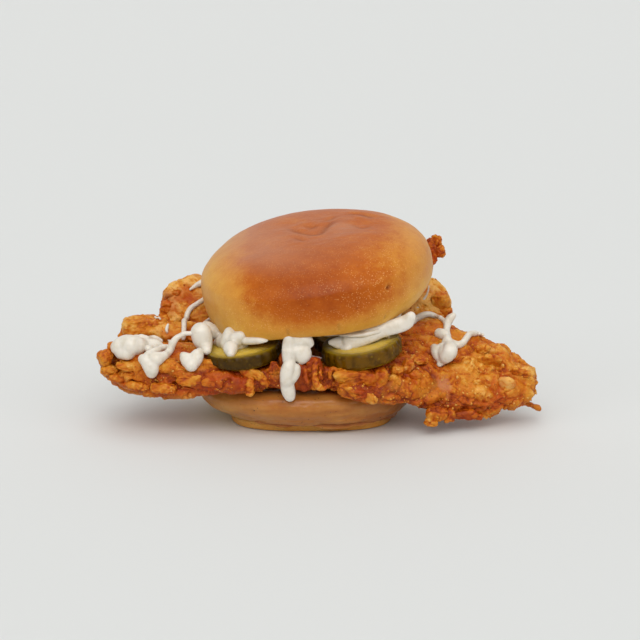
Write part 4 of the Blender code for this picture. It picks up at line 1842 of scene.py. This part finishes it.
@dataclass(frozen=True)
class CreamPiece:
    """Cream let fall on the food from the front: fat lines that run together.

    A station is x, the height at which its line of fall meets the plane y = 0, and the
    half width there.

    Attributes:
        name: The piece's name.
        nodes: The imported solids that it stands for.
        lines: Its fat lines.
        span: How much deeper one end of a line may lie than its nearest point.
        depth: How thick the cream is, over how wide.
        lift: How far the line's middle stands off the food, over its half width.
        swell: What its half widths are multiplied by, since the skin drawn over it shrinks.
        under: Whether it comes from under the crown, and so doesn't land on the crown's skin.
        front: The y at which it hangs where nothing nearer holds it.
    """

    name: str
    nodes: tuple[str, ...]
    lines: tuple[FatLine, ...]
    span: float = 6.0
    depth: float = 0.85
    lift: float = 0.3
    swell: float = 1.1
    under: bool = False
    front: float | None = None

    def shape(self, trees: Sequence[BVHTree]) -> Shape:
        """Balls strung along every line where it lies on the food.

        Args:
            trees: The food that the cream falls on.

        Returns:
            Overlapping balls, which one skin is then drawn over.
        """
        return Shape.of(*(ball for line in self.lines for ball in self.balls(line, trees)))

    def balls(self, line: FatLine, trees: Sequence[BVHTree]) -> list[Surface]:
        """The balls of one fat line, flattened along the fall.

        Each lands on the nearest food, but the line stays within span of its nearest point, and
        its reach is evened out over five neighbours.

        Args:
            line: The line's stations.
            trees: The food that it falls on.

        Returns:
            The balls, each overlapping the next.
        """
        path = along_path(np.array(line, float), 6)
        path[:, 2] = np.maximum(path[:, 2], LEAST_HALF)
        starts = np.stack([path[:, 0], 0 * path[:, 0], path[:, 1]], -1) - FALL_WAY * FALL_FROM
        reach = np.array([self.reach(start, half, trees) for start, half in zip(starts, path[:, 2])])
        if self.front is not None:
            reach = np.fmin(reach, (self.front - starts[:, 1]) / FALL_WAY[1])
        reach = np.minimum(reach, np.nanmin(reach) + self.span)
        reach = np.where(np.isnan(reach), np.nanmin(reach) + 0.5 * self.span, reach)
        kernel = np.array([0.15, 0.2, 0.3, 0.2, 0.15])
        even = np.convolve(np.pad(reach, 2, mode="edge"), kernel, mode="valid")
        reach = np.minimum(reach, even)
        middles = starts + FALL_WAY * (reach - self.lift * path[:, 2])[:, None]
        travel = np.concatenate([[0], np.cumsum(np.linalg.norm(np.diff(middles, axis=0), axis=1))])
        spots, spot = [], 0.0
        while spot <= travel[-1]:
            spots.append(spot)
            spot += BALL_STEP * float(np.interp(spot, travel, path[:, 2]))
        spots.append(travel[-1])
        laid = np.stack([np.interp(spots, travel, column) for column in (*middles.T, path[:, 2])], -1)
        return [
            lump_surface((self.swell * half, self.depth * self.swell * half, self.swell * half),
                         tuple(middle), (-FALL, 0, 0), 2.0, (12, 16))
            for *middle, half in laid
        ]

    @staticmethod
    def reach(start: Array, half: float, trees: Sequence[BVHTree]) -> float:
        """How far a bit of cream falls: to the nearest food under nine places on it.

        Args:
            start: Where its middle starts.
            half: Its half width.
            trees: The food that it falls on.

        Returns:
            The distance, or not a number where nothing lies under it.
        """
        met = []
        for side in (-0.5, 0.0, 0.5):
            for rise in (-0.5, 0.0, 0.5):
                origin = Vector(start) + Vector((side * half, 0, rise * half))
                met += [tree.ray_cast(origin, Vector(FALL_WAY))[3] for tree in trees]
        found = [distance for distance in met if distance is not None]
        return min(found) if found else math.nan


CREAM = (
    CreamPiece("tip_cream", ("cream_tip",), (
        ((-83.0, 31.3, 1.9), (-81.2, 31.4, 3.4), (-78.9, 32.0, 4.2), (-76.4, 32.2, 4.2), (-73.3, 32.0, 3.4),
         (-70.3, 32.6, 2.5), (-67.6, 33.0, 1.9), (-65.8, 33.0, 1.5), (-64.0, 32.4, 1.0)),
        ((-80.2, 29.4, 3.0), (-77.6, 29.2, 3.2)),
        ((-73.4, 34.6, 2.2), (-71.4, 34.2, 2.0)),
        ((-76.4, 34.9, 1.7), (-74.9, 34.6, 1.9), (-71.0, 34.9, 1.2), (-68.4, 35.0, 1.3), (-65.6, 33.8, 1.0)),
        ((-68.6, 30.6, 1.5), (-66.4, 31.4, 1.3)),
    )),
    CreamPiece("fold_cream", ("cream_fold",), (
        ((-70.4, 26.4, 2.0), (-68.2, 25.2, 2.9), (-66.8, 22.8, 3.1), (-66.6, 20.8, 2.5)),
        ((-67.0, 29.2, 1.5), (-64.5, 30.4, 1.4), (-62.8, 31.2, 1.3), (-60.4, 31.4, 1.1)),
        ((-67.5, 27.2, 2.7), (-65.0, 26.4, 2.9), (-62.5, 27.3, 2.0), (-60.6, 28.6, 1.6), (-59.3, 30.6, 1.5),
         (-58.4, 33.1, 1.5), (-57.0, 35.1, 1.3), (-55.3, 36.3, 1.1), (-53.2, 37.3, 1.0), (-50.0, 37.4, 0.9)),
        ((-62.2, 34.2, 0.4), (-60.2, 33.2, 1.0)),
    ), span=9.0),
    CreamPiece("heart_cream", ("cream_heart",), (
        ((-53.5, 27.9, 1.5), (-51.6, 26.0, 2.7), (-49.7, 23.9, 2.7)),
        ((-46.9, 29.4, 1.7), (-47.7, 27.2, 2.8), (-49.3, 24.4, 2.7)),
        ((-50.3, 26.6, 2.0), (-49.4, 25.4, 2.4)),
    )),
    CreamPiece("bulb_cream", ("cream_bulb",), (
        ((-46.4, 37.6, 4.2), (-45.8, 34.8, 4.0), (-44.6, 32.2, 2.9), (-43.6, 29.9, 1.8)),
        ((-44.6, 38.8, 3.6), (-42.0, 37.9, 3.0), (-40.4, 36.9, 1.9), (-38.4, 36.4, 1.0), (-36.9, 36.7, 0.6)),
        ((-45.6, 43.6, 0.8), (-47.2, 41.4, 1.2)),
    )),
    CreamPiece("star_cream", ("cream_star",), (
        ((-34.1, 38.0, 1.8), (-33.7, 35.8, 2.9), (-33.6, 33.6, 3.7)),
        ((-40.1, 33.4, 1.3), (-37.3, 33.8, 2.5), (-34.6, 34.0, 3.2)),
        ((-33.0, 28.7, 1.5), (-33.3, 31.0, 2.6)),
        ((-29.0, 36.6, 1.5), (-31.0, 35.0, 2.7)),
        ((-28.0, 32.8, 1.8), (-30.6, 33.2, 2.7)),
        ((-27.0, 34.2, 1.4), (-23.0, 34.3, 1.3), (-19.9, 34.4, 1.0), (-17.7, 34.4, 0.5)),
    ), swell=1.26),
    CreamPiece("lump_cream", ("cream_lump",), (
        ((-8.2, 35.4, 2.2), (-8.6, 31.6, 2.5), (-8.7, 27.6, 2.4), (-8.3, 23.4, 2.1)),
        ((-3.6, 31.0, 2.6), (-2.7, 28.9, 3.3), (-3.2, 26.9, 2.4)),
        ((-6.6, 35.6, 2.2), (-4.0, 34.4, 2.4), (-1.2, 34.8, 2.2), (0.4, 33.2, 1.5)),
        ((-6.8, 31.6, 2.0), (-5.0, 30.0, 2.2)),
    ), span=3.0, swell=1.18, under=True, front=-42.0),
    CreamPiece("drip_cream", ("cream_drip",), (
        ((-7.9, 25.5, 2.0), (-8.7, 23.3, 2.5), (-9.4, 20.4, 2.7), (-9.4, 16.6, 2.7), (-8.8, 12.7, 2.8),
         (-8.2, 10.4, 2.2)),
        ((-5.6, 22.6, 1.9), (-5.9, 20.2, 2.0), (-7.3, 17.4, 1.7)),
    ), span=3.5, under=True, front=-44.0),
    CreamPiece("splash_cream", ("cream_splash",), (
        ((57.2, 37.2, 2.2), (58.6, 36.8, 2.3), (60.2, 36.0, 1.9)),
        ((63.8, 45.3, 1.3), (62.3, 43.7, 1.8), (61.2, 41.4, 1.7), (60.6, 39.2, 1.4), (60.4, 36.5, 1.6),
         (60.1, 33.9, 2.0)),
        ((60.3, 33.0, 2.5), (60.8, 30.4, 2.9), (60.0, 28.4, 3.0), (58.0, 26.0, 2.2), (56.4, 23.8, 1.3)),
        ((54.4, 31.0, 1.6), (55.6, 28.8, 2.6), (56.8, 26.6, 2.2)),
        ((58.0, 30.4, 2.6), (58.4, 28.4, 2.6)),
        ((62.2, 32.5, 2.0), (64.8, 32.1, 1.6), (67.1, 33.0, 1.4), (69.1, 35.2, 1.4), (70.8, 36.9, 1.3),
         (72.7, 37.2, 1.3), (74.2, 37.2, 1.1), (76.6, 36.6, 0.7)),
    ), span=14.0),
    CreamPiece("band_cream", (), (
        ((8.8, 33.6, 1.0), (11.6, 33.4, 2.1), (15.2, 33.4, 3.2), (18.4, 34.4, 3.5), (21.5, 35.3, 3.3),
         (25.7, 36.8, 3.2), (30.1, 38.4, 2.9), (34.4, 39.9, 3.0), (38.6, 41.2, 3.1), (41.4, 42.6, 2.9),
         (43.0, 44.8, 2.0)),
        ((44.0, 44.7, 1.5), (46.3, 46.4, 1.0), (49.1, 49.0, 0.8), (51.4, 52.0, 0.7), (53.4, 55.4, 0.6),
         (54.2, 59.2, 0.5)),
        ((14.0, 31.0, 1.0), (16.6, 31.0, 1.4)),
        ((22.4, 33.8, 1.3), (23.4, 32.6, 0.8)),
        ((32.6, 37.4, 1.3), (33.6, 36.2, 0.8)),
        ((40.6, 39.6, 1.5), (41.6, 38.6, 1.0)),
    ), span=2.4, depth=0.5, lift=-0.9, under=True),
    CreamPiece("arch_cream", (), (
        ((43.0, 42.4, 1.7), (45.8, 42.6, 1.5), (48.2, 43.8, 1.4), (51.3, 45.4, 1.4), (53.6, 46.0, 1.3),
         (55.9, 45.6, 1.2), (57.7, 44.7, 1.1), (59.6, 43.3, 1.0), (60.9, 41.4, 1.3)),
    ), span=16.0),
    CreamPiece("drizzle_cream", (), (
        ((-46.5, 54.6, 1.0), (-50.2, 51.7, 1.1), (-52.8, 50.0, 1.1), (-54.6, 48.4, 1.2), (-55.8, 46.0, 1.2),
         (-56.2, 43.3, 1.2), (-55.9, 40.1, 1.1), (-55.7, 37.4, 1.1), (-55.9, 35.0, 1.0)),
        ((-47.0, 62.0, 1.4), (-50.0, 60.6, 1.4), (-52.2, 59.6, 1.1), (-55.0, 57.6, 0.6)),
        ((-62.9, 41.2, 0.6), (-63.4, 39.2, 0.8), (-63.1, 37.6, 0.5)),
        ((-69.2, 44.7, 0.5), (-68.5, 44.1, 0.5)),
        ((-67.4, 44.5, 0.5), (-66.6, 43.6, 0.5)),
    ), span=30.0, under=True),
)


@dataclass(frozen=True)
class CreamMaker:
    """Draws one soft skin over each cream piece's balls.

    Attributes:
        voxel: The skin's fineness in millimetres.
        smoothing: How many times it is evened out.
    """

    voxel: float = 0.36
    smoothing: int = 7

    def skin(self, shape: Shape, name: str) -> Shape:
        """One closed skin round overlapping balls.

        Args:
            shape: The balls.
            name: A name for the passing mesh.

        Returns:
            The skin's corners and triangles.
        """
        mesh = bpy.data.meshes.new(name)
        mesh.from_pydata(shape.points, [], shape.faces.astype(np.int32))
        passing = bpy.data.objects.new(name, mesh)
        bpy.context.scene.collection.objects.link(passing)
        remesh = passing.modifiers.new("skin", "REMESH")
        remesh.mode = "VOXEL"
        remesh.voxel_size = self.voxel
        soft = passing.modifiers.new("soft", "SMOOTH")
        soft.factor = 0.5
        soft.iterations = self.smoothing
        seen = passing.evaluated_get(bpy.context.evaluated_depsgraph_get())
        points, faces = mesh_arrays(seen.to_mesh())
        seen.to_mesh_clear()
        bpy.data.objects.remove(passing)
        bpy.data.meshes.remove(mesh)
        return Shape(points, faces)


@dataclass
class CreamFilm:
    """The thin layer of cream on the crown's cut face, thick at the front right.

    Attributes:
        node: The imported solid.
        tuck: How far its rim is drawn in, in millimetres, away from the thick part.
        thick: Degrees to the middle of the thick part, and half of its arc.
    """

    node: str = "cream_spread"
    tuck: float = 3.4
    thick: tuple[float, float] = (-54.0, 38.0)

    def surface(self) -> Surface:
        """The film's skin, with soft waves, drawn in a little under the crown's edge.

        Returns:
            The closed surface.
        """
        skin = node_triangles(self.node)
        middle = skin.reshape(-1, 3).mean(axis=0)
        feeler = Feeler((44.0, 44.0, 2.6), Crown().lean, (60, 72), (110, 360), 0.55)
        plain = feeler.skin_from_point(skin, middle)
        away = (plain.points - middle) * np.array([1.0, 1.0, 0.0])
        angle = np.degrees(np.arctan2(away[..., 1], away[..., 0]))
        thin = smooth_step(np.abs(angle - self.thick[0]), 0.3 * self.thick[1], self.thick[1])
        made = plain.pushed(self.tuck * (0.4 + 0.6 * thin), unit(-away))
        return made.pushed(0.22 * layered_noise(plain.points, 5.0, 81, 3))


# ----- Studio -----


@dataclass(frozen=True)
class SoftSun:
    """A broad, even light: which way it stands, how wide it looks, its strength and its warmth."""

    name: str
    way: Triple
    width: float
    strength: float
    colour: Triple = (1.0, 1.0, 1.0)

    def hang(self) -> None:
        """Makes the light and turns it towards the burger."""
        data = bpy.data.lights.new(self.name, "SUN")
        data.angle = math.radians(self.width)
        data.energy = self.strength
        data.color = self.colour
        lamp = bpy.data.objects.new(self.name, data)
        lamp.location = self.way
        lamp.rotation_euler = (-Vector(self.way)).to_track_quat("-Z", "Y").to_euler()
        bpy.context.scene.collection.objects.link(lamp)


@dataclass(frozen=True)
class Studio:
    """A pale floor, soft lights and the camera.

    Attributes:
        elevation: How far the camera looks down, in degrees.
        distance: From the camera to what it aims at, in metres.
        lens: Focal length in millimetres.
        aim: Across and up from the origin, in metres, square to the view.
        floor_side: The floor's side in metres.
        air: The colour of the surroundings.
        world: Their brightness.
        backdrop: Their brightness behind, where the studio has a lit wall.
        wall_height: How far up the lit wall's middle stands, in degrees.
        wall_edge: The cosines of the angle from there at which it has faded and is full.
        suns: The lights.
    """

    elevation: float = FALL
    distance: float = 0.685
    lens: float = 85.0
    aim: tuple[float, float] = (0.004526, 0.042318)
    floor_side: float = 900.0
    air: tuple[float, float, float, float] = (0.985, 1.0, 0.995, 1.0)
    world: float = 0.13
    backdrop: float = 0.7
    wall_height: float = 20.0
    wall_edge: tuple[float, float] = (0.3, 0.85)
    suns: tuple[SoftSun, ...] = (
        SoftSun("left_light", (-0.9, -0.8, 0.95), 50.0, 0.66, (1.0, 0.98, 0.96)),
        SoftSun("right_light", (0.95, -0.8, 0.85), 50.0, 0.66, (1.0, 0.98, 0.96)),
        SoftSun("front_light", (0.0, -1.0, 0.85), 44.0, 1.42, (1.0, 0.98, 0.96)),
        SoftSun("top_light", (0.0, 0.0, 1.0), 50.0, 0.62),
    )

    def build(self) -> None:
        """Makes the floor, the lights, the world and the camera."""
        for sun in self.suns:
            sun.hang()
        self.lay_floor()
        self.light_world()
        self.place_camera()
        bpy.context.scene.view_settings.view_transform = "Standard"

    def lay_floor(self) -> None:
        """The floor: one large level square just under the burger."""
        half = self.floor_side / 2
        corners = [(-half, -half, 0), (half, -half, 0), (half, half, 0), (-half, half, 0)]
        mesh = bpy.data.meshes.new("studio_floor")
        mesh.from_pydata(corners, [], [(0, 1, 2, 3)])
        mesh.materials.append(FloorFinish().material())
        floor = bpy.data.objects.new("studio_floor", mesh)
        bpy.context.scene.collection.objects.link(floor)

    def light_world(self) -> None:
        """Even, near-white surroundings with a lit wall behind."""
        world = bpy.data.worlds.new("studio")
        world.use_nodes = True
        tree = world.node_tree
        background = tree.nodes["Background"]
        background.inputs["Color"].default_value = self.air
        places = tree.nodes.new("ShaderNodeTexCoord")
        facing = tree.nodes.new("ShaderNodeVectorMath")
        facing.operation = "DOT_PRODUCT"
        up = math.radians(self.wall_height)
        facing.inputs[1].default_value = (0.0, math.cos(up), math.sin(up))
        fade = tree.nodes.new("ShaderNodeMapRange")
        fade.interpolation_type = "SMOOTHSTEP"
        ends = (*self.wall_edge, self.world, self.backdrop)
        for socket, value in zip(("From Min", "From Max", "To Min", "To Max"), ends):
            fade.inputs[socket].default_value = value
        tree.links.new(places.outputs["Generated"], facing.inputs[0])
        tree.links.new(facing.outputs["Value"], fade.inputs["Value"])
        tree.links.new(fade.outputs["Result"], background.inputs["Strength"])
        bpy.context.scene.world = world

    def place_camera(self) -> None:
        """The camera, looking along the fall of the cream."""
        tilt = math.radians(self.elevation)
        away = Vector((0, -math.cos(tilt), math.sin(tilt)))
        up = Vector((0, math.sin(tilt), math.cos(tilt)))
        across, rise = self.aim
        data = bpy.data.cameras.new("camera")
        data.lens = self.lens
        data.sensor_width = 36.0
        data.clip_start = 0.01
        camera = bpy.data.objects.new("camera", data)
        camera.location = Vector((1, 0, 0)) * across + up * rise + away * self.distance
        camera.rotation_euler = (-away).to_track_quat("-Z", "Y").to_euler()
        bpy.context.scene.collection.objects.link(camera)
        bpy.context.scene.camera = camera


# ----- The burger -----

# The dark shades are painted shade where the crown shades the front middle and low down, partly sauce soaking
# in.
FILLETS = (
    Fillet(
        "fillet_right", Crumb.GRAINY, half_sizes=(22.0, 9.0), slope=28.0, rows=300,
        dips=((55.6, -35.9, 15.2, 1.6, 2.2),),
        meats=((58.2, -32.0, 21.5, 4.3),),
        shades=((28, 28, 22, 12, -0.46), (56, 10, 20, 7, -0.3), (86, 20, 14, 12, 0.04)),
    ),
    Fillet(
        "fillet_front", Crumb.FOLDED, half_sizes=(17.5, 9.0), slope=5.0, rows=300,
        dips=((-84.5, -32.0, 30.5, 4.0, 2.6), (-56.7, -42.1, 23.7, 1.8, 2.6),
              (-66.0, -42.0, 27.0, 3.0, 1.0)),
        shades=((-20, 27, 28, 9, -0.58), (-62, 22, 22, 3, -0.2), (-88, 31, 5, 3, -0.12)),
    ),
    Fillet(
        "fillet_back", Crumb.SMOOTH, half_sizes=(18.5, 9.5), slope=48.0, rows=300,
        dips=((-67.5, 17.0, 46.5, 3.2, 2.6),), tint=0.3,
        shades=((-46, 44, 10, 8, -0.34), (54, 52, 12, 12, 0.12)),
    ),
    Fillet("fillet_middle", Crumb.FOLDED, half_sizes=(10.0, 9.0), slope=2.0, rows=210, columns=200),
)

RIGHT_CHUNKS = (
    # The first chunks sit under the crown's front and are darkened as painted shade.
    Chunk((20.0, -43.2, 27.2), (9.6, 3.0, 4.2), (16, 4, 2), 4.4, -0.16),
    Chunk((29.6, -42.0, 26.2), (3.4, 3.4, 5.2), (18, 4, 8), 3.8, -0.08),
    Chunk((19.4, -45.0, 21.4), (8.2, 2.4, 2.9), (24, 20, 0), 3.2, -0.16),
    Chunk((26.0, -46.0, 19.8), (3.0, 2.2, 2.4), (20, 30, 0), 2.8, 0.12),
    Chunk((35.2, -40.0, 24.6), (3.0, 2.4, 3.6), (20, 34, 10), 3.0, -0.04),
    Chunk((36.6, -36.8, 28.4), (3.0, 2.4, 3.4), (30, 22, 8), 3.0, 0.0),
    Chunk((41.8, -34.2, 30.0), (2.6, 2.2, 4.4), (25, 16, 0), 2.8, 0.12),
    Chunk((47.0, -27.9, 31.4), (4.0, 2.2, 2.2), (30, 0, 10), 2.8, 0.02),
    Chunk((44.8, -34.0, 26.0), (3.4, 2.0, 2.6), (20, 0, 0), 2.4, 0.04),
    Chunk((62.5, -24.4, 31.6), (3.4, 1.7, 2.6), (30, 20, 0), 2.6, -0.05),
    Chunk((67.9, -22.8, 29.4), (3.0, 1.5, 3.2), (30, -10, 0), 2.4, 0.12),
    Chunk((75.5, -16.6, 33.6), (3.6, 1.6, 2.2), (30, -8, 0), 2.6, 0.02),
    Chunk((85.2, -26.6, 20.6), (4.0, 1.9, 3.4), (22, 20, 0), 2.2, 0.42, rough=0.1),
    Chunk((78.4, -21.0, 29.2), (5.4, 1.4, 4.0), (35, 0, 0), 3.0, 0.08, rough=0.7),
    Chunk((74.0, -28.0, 20.6), (4.4, 1.5, 3.4), (25, 0, 0), 2.6, 0.06),
    Chunk((92.0, -21.6, 24.4), (4.6, 1.3, 2.0), (25, 18, 0), 2.6, 0.0),
    # The low chunks near the floor are darkened, partly wet batter and partly painted shade underneath.
    Chunk((54.6, -35.6, 9.6), (4.6, 2.6, 3.2), (10, 8, 0), 3.0, -0.16),
    Chunk((52.4, -36.2, 6.2), (3.0, 2.0, 1.6), (0, 12, 0), 3.0, -0.08),
    Chunk((59.8, -34.4, 8.6), (2.8, 2.2, 2.8), (0, -14, 0), 2.8, -0.2),
    Chunk((67.4, -30.6, 8.0), (5.6, 2.2, 2.2), (10, 0, 0), 3.0, -0.26),
    Chunk((72.8, -29.0, 6.8), (2.6, 1.8, 1.6), (0, 10, 0), 3.0, 0.0),
    Chunk((100.4, -14.0, 6.6), (2.4, 2.0, 1.3), (0, 26, 0), 2.4, 0.0),
    Chunk((97.0, -14.6, 8.3), (3.0, 1.9, 1.3), (0, 20, 0), 2.4, 0.0),
    Chunk((93.4, -14.8, 10.4), (3.4, 2.4, 2.2), (0, 24, 0), 2.4, 0.0),
)

RIGHT_CURLS = (
    Curl(((3.4, -44.2, 36.0, 1.0), (2.3, -46.2, 32.0, 1.3), (2.5, -47.6, 28.0, 1.4), (3.9, -48.5, 25.2, 1.4),
          (6.0, -48.4, 24.4, 1.2), (7.8, -48.0, 25.8, 0.7)), 0.9, -0.24),
    Curl(((5.0, -45.0, 33.0, 0.8), (4.6, -46.6, 29.6, 0.9), (5.4, -47.2, 27.4, 0.7)), 1.0, -0.3),
    Curl(((8.6, -45.4, 27.0, 0.8), (8.6, -44.9, 30.0, 0.9), (10.0, -44.4, 31.8, 0.9),
          (11.6, -44.6, 30.8, 0.8), (10.8, -45.2, 29.6, 0.6)), 1.0, -0.26),
    Curl(((-1.4, -43.6, 32.0, 1.0), (-1.4, -45.2, 28.0, 1.2), (-0.4, -46.0, 25.4, 0.9)), 1.0, -0.3),
)

FRONT_CHUNKS = (
    Chunk((-21.0, -43.8, 28.0), (5.6, 1.5, 1.7), (10, 40, -4), 3.4, 0.0),
    Chunk((-26.6, -43.6, 29.8), (3.6, 1.3, 2.0), (10, 50, 0), 2.8, -0.08),
    Chunk((-24.9, -45.0, 24.2), (1.8, 1.3, 4.2), (-4, 6, 0), 3.4, 0.02),
    Chunk((-35.6, -43.2, 25.4), (10.0, 2.0, 2.2), (0, 2, 2), 3.4, -0.02),
    Chunk((-41.4, -39.2, 31.6), (4.0, 1.9, 2.6), (14, 8, 0), 2.8, 0.02),
    Chunk((-49.0, -41.2, 26.2), (7.4, 2.2, 2.2), (0, -4, 0), 3.2, -0.1),
    Chunk((-55.5, -39.4, 30.6), (3.6, 1.8, 2.0), (10, 26, 0), 2.6, 0.04),
    Chunk((-61.6, -41.2, 22.4), (5.4, 2.2, 2.2), (0, 4, 0), 3.0, -0.08),
    Chunk((-72.6, -38.2, 22.6), (5.4, 2.4, 1.9), (0, 6, 6), 3.0, -0.08),
    Chunk((-74.6, -36.0, 30.6), (7.6, 2.4, 1.7), (0, 5, 6), 3.2, 0.06),
    Chunk((-80.8, -33.8, 25.0), (5.0, 2.2, 1.9), (0, 8, 12), 3.0, -0.06),
    Chunk((-87.6, -30.2, 33.6), (3.8, 4.4, 3.6), (0, -10, 16), 2.2, -0.04, rough=0.8),
    Chunk((-85.8, -31.0, 27.8), (4.0, 3.6, 2.4), (0, 0, 16), 2.4, 0.0, rough=0.8),
    Chunk((-84.4, -28.0, 37.0), (2.8, 3.2, 2.8), (0, -10, 10), 2.6, -0.02),
    # The chunks from here on sit on the front middle under the crown's front and are darkened as painted
    # shade.
    Chunk((-10.0, -43.4, 30.0), (3.4, 1.8, 3.0), (10, 0, 0), 2.8, -0.36),
    Chunk((-15.0, -43.2, 31.0), (2.4, 1.6, 3.4), (10, 24, 0), 2.6, -0.34),
    Chunk((-8.6, -40.4, 33.6), (4.0, 2.4, 5.4), (8, 4, 0), 3.0, -0.42),
    Chunk((-3.4, -42.0, 27.6), (5.6, 2.2, 6.0), (8, 12, 0), 3.2, -0.34),
    Chunk((2.6, -42.4, 30.0), (3.8, 2.0, 6.2), (8, -14, 0), 3.0, -0.38),
    Chunk((7.6, -42.4, 27.6), (3.6, 2.0, 4.8), (8, 10, 0), 3.0, -0.3),
    Chunk((1.6, -44.0, 25.0), (2.6, 1.3, 2.4), (10, 30, 0), 2.6, -0.2),
)

MIDDLE_CHUNKS = (
    Chunk((-73.9, 1.4, 39.2), (9.8, 6.6, 5.0), (0, -2, 0), 5.0, 0.08, rough=1.3),
    Chunk((-66.8, -1.4, 38.6), (5.0, 4.0, 4.4), (0, 6, 0), 3.4, 0.0),
)

BACK_CHUNKS = (
    Chunk((-63.0, 20.2, 50.8), (4.8, 2.6, 4.8), (48, 6, 0), 2.4, 0.36, rough=0.8),
    Chunk((-65.6, 17.4, 44.8), (3.2, 2.8, 4.4), (30, 16, 0), 2.4, 0.06),
    Chunk((-66.2, 14.4, 40.6), (2.6, 2.6, 2.2), (20, 0, 0), 3.0, -0.06),
    Chunk((59.8, 16.8, 48.0), (4.4, 2.4, 5.4), (30, -18, 0), 3.2, 0.10, rough=0.6),
    Chunk((62.0, 18.0, 42.6), (3.4, 2.0, 3.4), (30, 0, 0), 2.8, 0.0),
)

SHARD_CHUNKS = (
    Chunk((58.2, 30.8, 74.4), (2.7, 2.0, 2.7), (0, 12, 0), 2.6, -0.06),
    Chunk((56.4, 30.8, 71.6), (2.8, 1.8, 4.2), (0, -10, 0), 2.8, -0.24),
    Chunk((60.0, 31.0, 69.4), (2.4, 1.8, 3.2), (0, -16, 0), 2.8, -0.04),
    Chunk((56.6, 30.6, 66.0), (2.4, 1.6, 3.6), (0, 10, 0), 2.6, -0.12),
    Chunk((55.0, 30.2, 61.8), (2.2, 1.6, 2.8), (0, 16, 0), 2.6, -0.06),
    Chunk((53.6, 29.6, 57.6), (2.4, 2.0, 3.2), (0, 14, 0), 2.6, -0.02),
)


def tree_of(shape: Shape) -> BVHTree:
    """A search tree over a shape, for letting cream fall on it."""
    return BVHTree.FromPolygons(shape.points.tolist(), shape.faces.tolist())


@dataclass
class Burger:
    """The whole burger: makes each sub-assembly in turn, from the table up.

    Attributes:
        trees: A search tree over each piece that cream can fall on, by the piece's name.
    """

    trees: dict[str, BVHTree] = field(default_factory=dict)

    def add(self, name: str, shape: Shape, finish: Material, slot: str, *nodes: str) -> Shape:
        """Makes one piece, settles it and remembers its skin.

        Args:
            name: The piece's name.
            shape: Its mesh.
            finish: Its material.
            slot: The record's material slot.
            nodes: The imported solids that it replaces.

        Returns:
            The shape, for whatever lies on it.
        """
        settle_piece(make_piece(name, shape, finish), slot, *nodes)
        self.trees[name] = tree_of(shape)
        return shape

    def add_heel(self) -> None:
        """The lower bun, its sauce and the pepper in it."""
        heel = Heel()
        self.add("bread_heel", Shape.of(heel.bread()), HeelFinish().material(), "heel_bread", "bun_heel")
        coat = Shape.of(heel.sauce())
        self.add("sauce_skin", coat, SauceFinish().material(), "tan_sauce", "sauce_coat")

        def on_side(places: Array, normals: Array) -> Array:
            """Which grains lie on the coat's side, clear of its lower edge and its top."""
            return (places[:, 2] > 5.5) & (places[:, 2] < 17.0) & (normals[:, 2] < 0.9)

        flakes = Scatter(260, (0.14, 0.42), 0.5, 0.1, 7).over(coat, on_side)
        settle_piece(make_piece("sauce_pepper", flakes, PepperFinish().material()), "tan_sauce")

    def add_chicken(self) -> None:
        """The four fillets with their chunks, curls and crumbs."""
        finish = CrustFinish().material()
        skins = [
            self.add(fillet.node.replace("fillet", "crust"), Shape.of(fillet.surface()), finish,
                     "fried_crust", fillet.node)
            for fillet in FILLETS
        ]
        groups = (
            ("chunks_right", [*RIGHT_CHUNKS, *RIGHT_CURLS], ("crisp_curl",)),
            ("chunks_front", FRONT_CHUNKS, ()),
            ("chunks_middle", MIDDLE_CHUNKS, ()),
            ("chunks_back", BACK_CHUNKS, ()),
            ("chunks_shard", SHARD_CHUNKS, ("crisp_shard",)),
        )
        for name, chunks, nodes in groups:
            shape = Shape.of(*(chunk.surface() for chunk in chunks))
            skins.append(self.add(name, shape, finish, "fried_crust", *nodes))
        self.add_crumbs(skins, finish)

    def add_crumbs(self, skins: Sequence[Shape], finish: Material) -> None:
        """Loose crumbs of batter baked onto the fillets.

        Args:
            skins: The crusts, in the fillets' order and then the chunks'.
            finish: The crust's material.
        """

        def anywhere(places: Array, _normals: Array) -> Array:
            """Nearly all of them, but for a few bare patches."""
            return np.abs(layered_noise(places, 8.0, 303, 2)) < 0.9

        counts = (3600, 2200, 1600, 700)
        crumbs = [
            Scatter(count, (0.15, 0.62), 0.7, 0.2, 90 + i, (0.2, 0.74)).over(skin, anywhere)
            for i, (count, skin) in enumerate(zip(counts, skins))
        ]
        settle_piece(make_piece("crust_crumbs", Shape.joined(crumbs), finish), "fried_crust")

    def add_pickles(self) -> None:
        """The three pickle slices."""
        finish = PickleFinish().material()
        # The left slice's rind gets painted shade, as it lies in the crown's shadow.
        for seed, (side, shade) in enumerate((("left", 0.65), ("right", 0.0), ("back", 0.0))):
            node = f"pickle_{side}"
            shape = Shape.of(PickleSlice(node, seed, shade).surface())
            self.add(f"slice_{side}", shape, finish, "pickle_flesh", node)

    def add_crown(self) -> None:
        """The upper bun."""
        shape = Shape.of(Crown().surface())
        self.add("bread_crown", shape, CrownFinish().material(), "crown_bread", "bun_crown")

    def add_cream(self) -> None:
        """The cream: the film under the crown, then every piece that fell on the food."""
        finish = CreamFinish().material()
        self.add("film_cream", Shape.of(CreamFilm().surface()), finish, "cream_sauce", "cream_spread")
        maker = CreamMaker()
        for piece in CREAM:
            missed = "bread_crown" if piece.under else ""
            trees = [tree for name, tree in self.trees.items() if name != missed]
            skin = maker.skin(piece.shape(trees), piece.name)
            settle_piece(make_piece(piece.name, skin, finish), "cream_sauce", *piece.nodes)


def main() -> None:
    """Builds the studio and the burger."""
    logging.basicConfig(level=logging.INFO, format="%(name)s: %(message)s")
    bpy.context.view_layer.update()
    Studio().build()
    burger = Burger()
    for step in (burger.add_heel, burger.add_chicken, burger.add_pickles, burger.add_crown, burger.add_cream):
        step()
        LOG.info("%s is done", step.__name__)


if __name__ == "__main__":
    main()
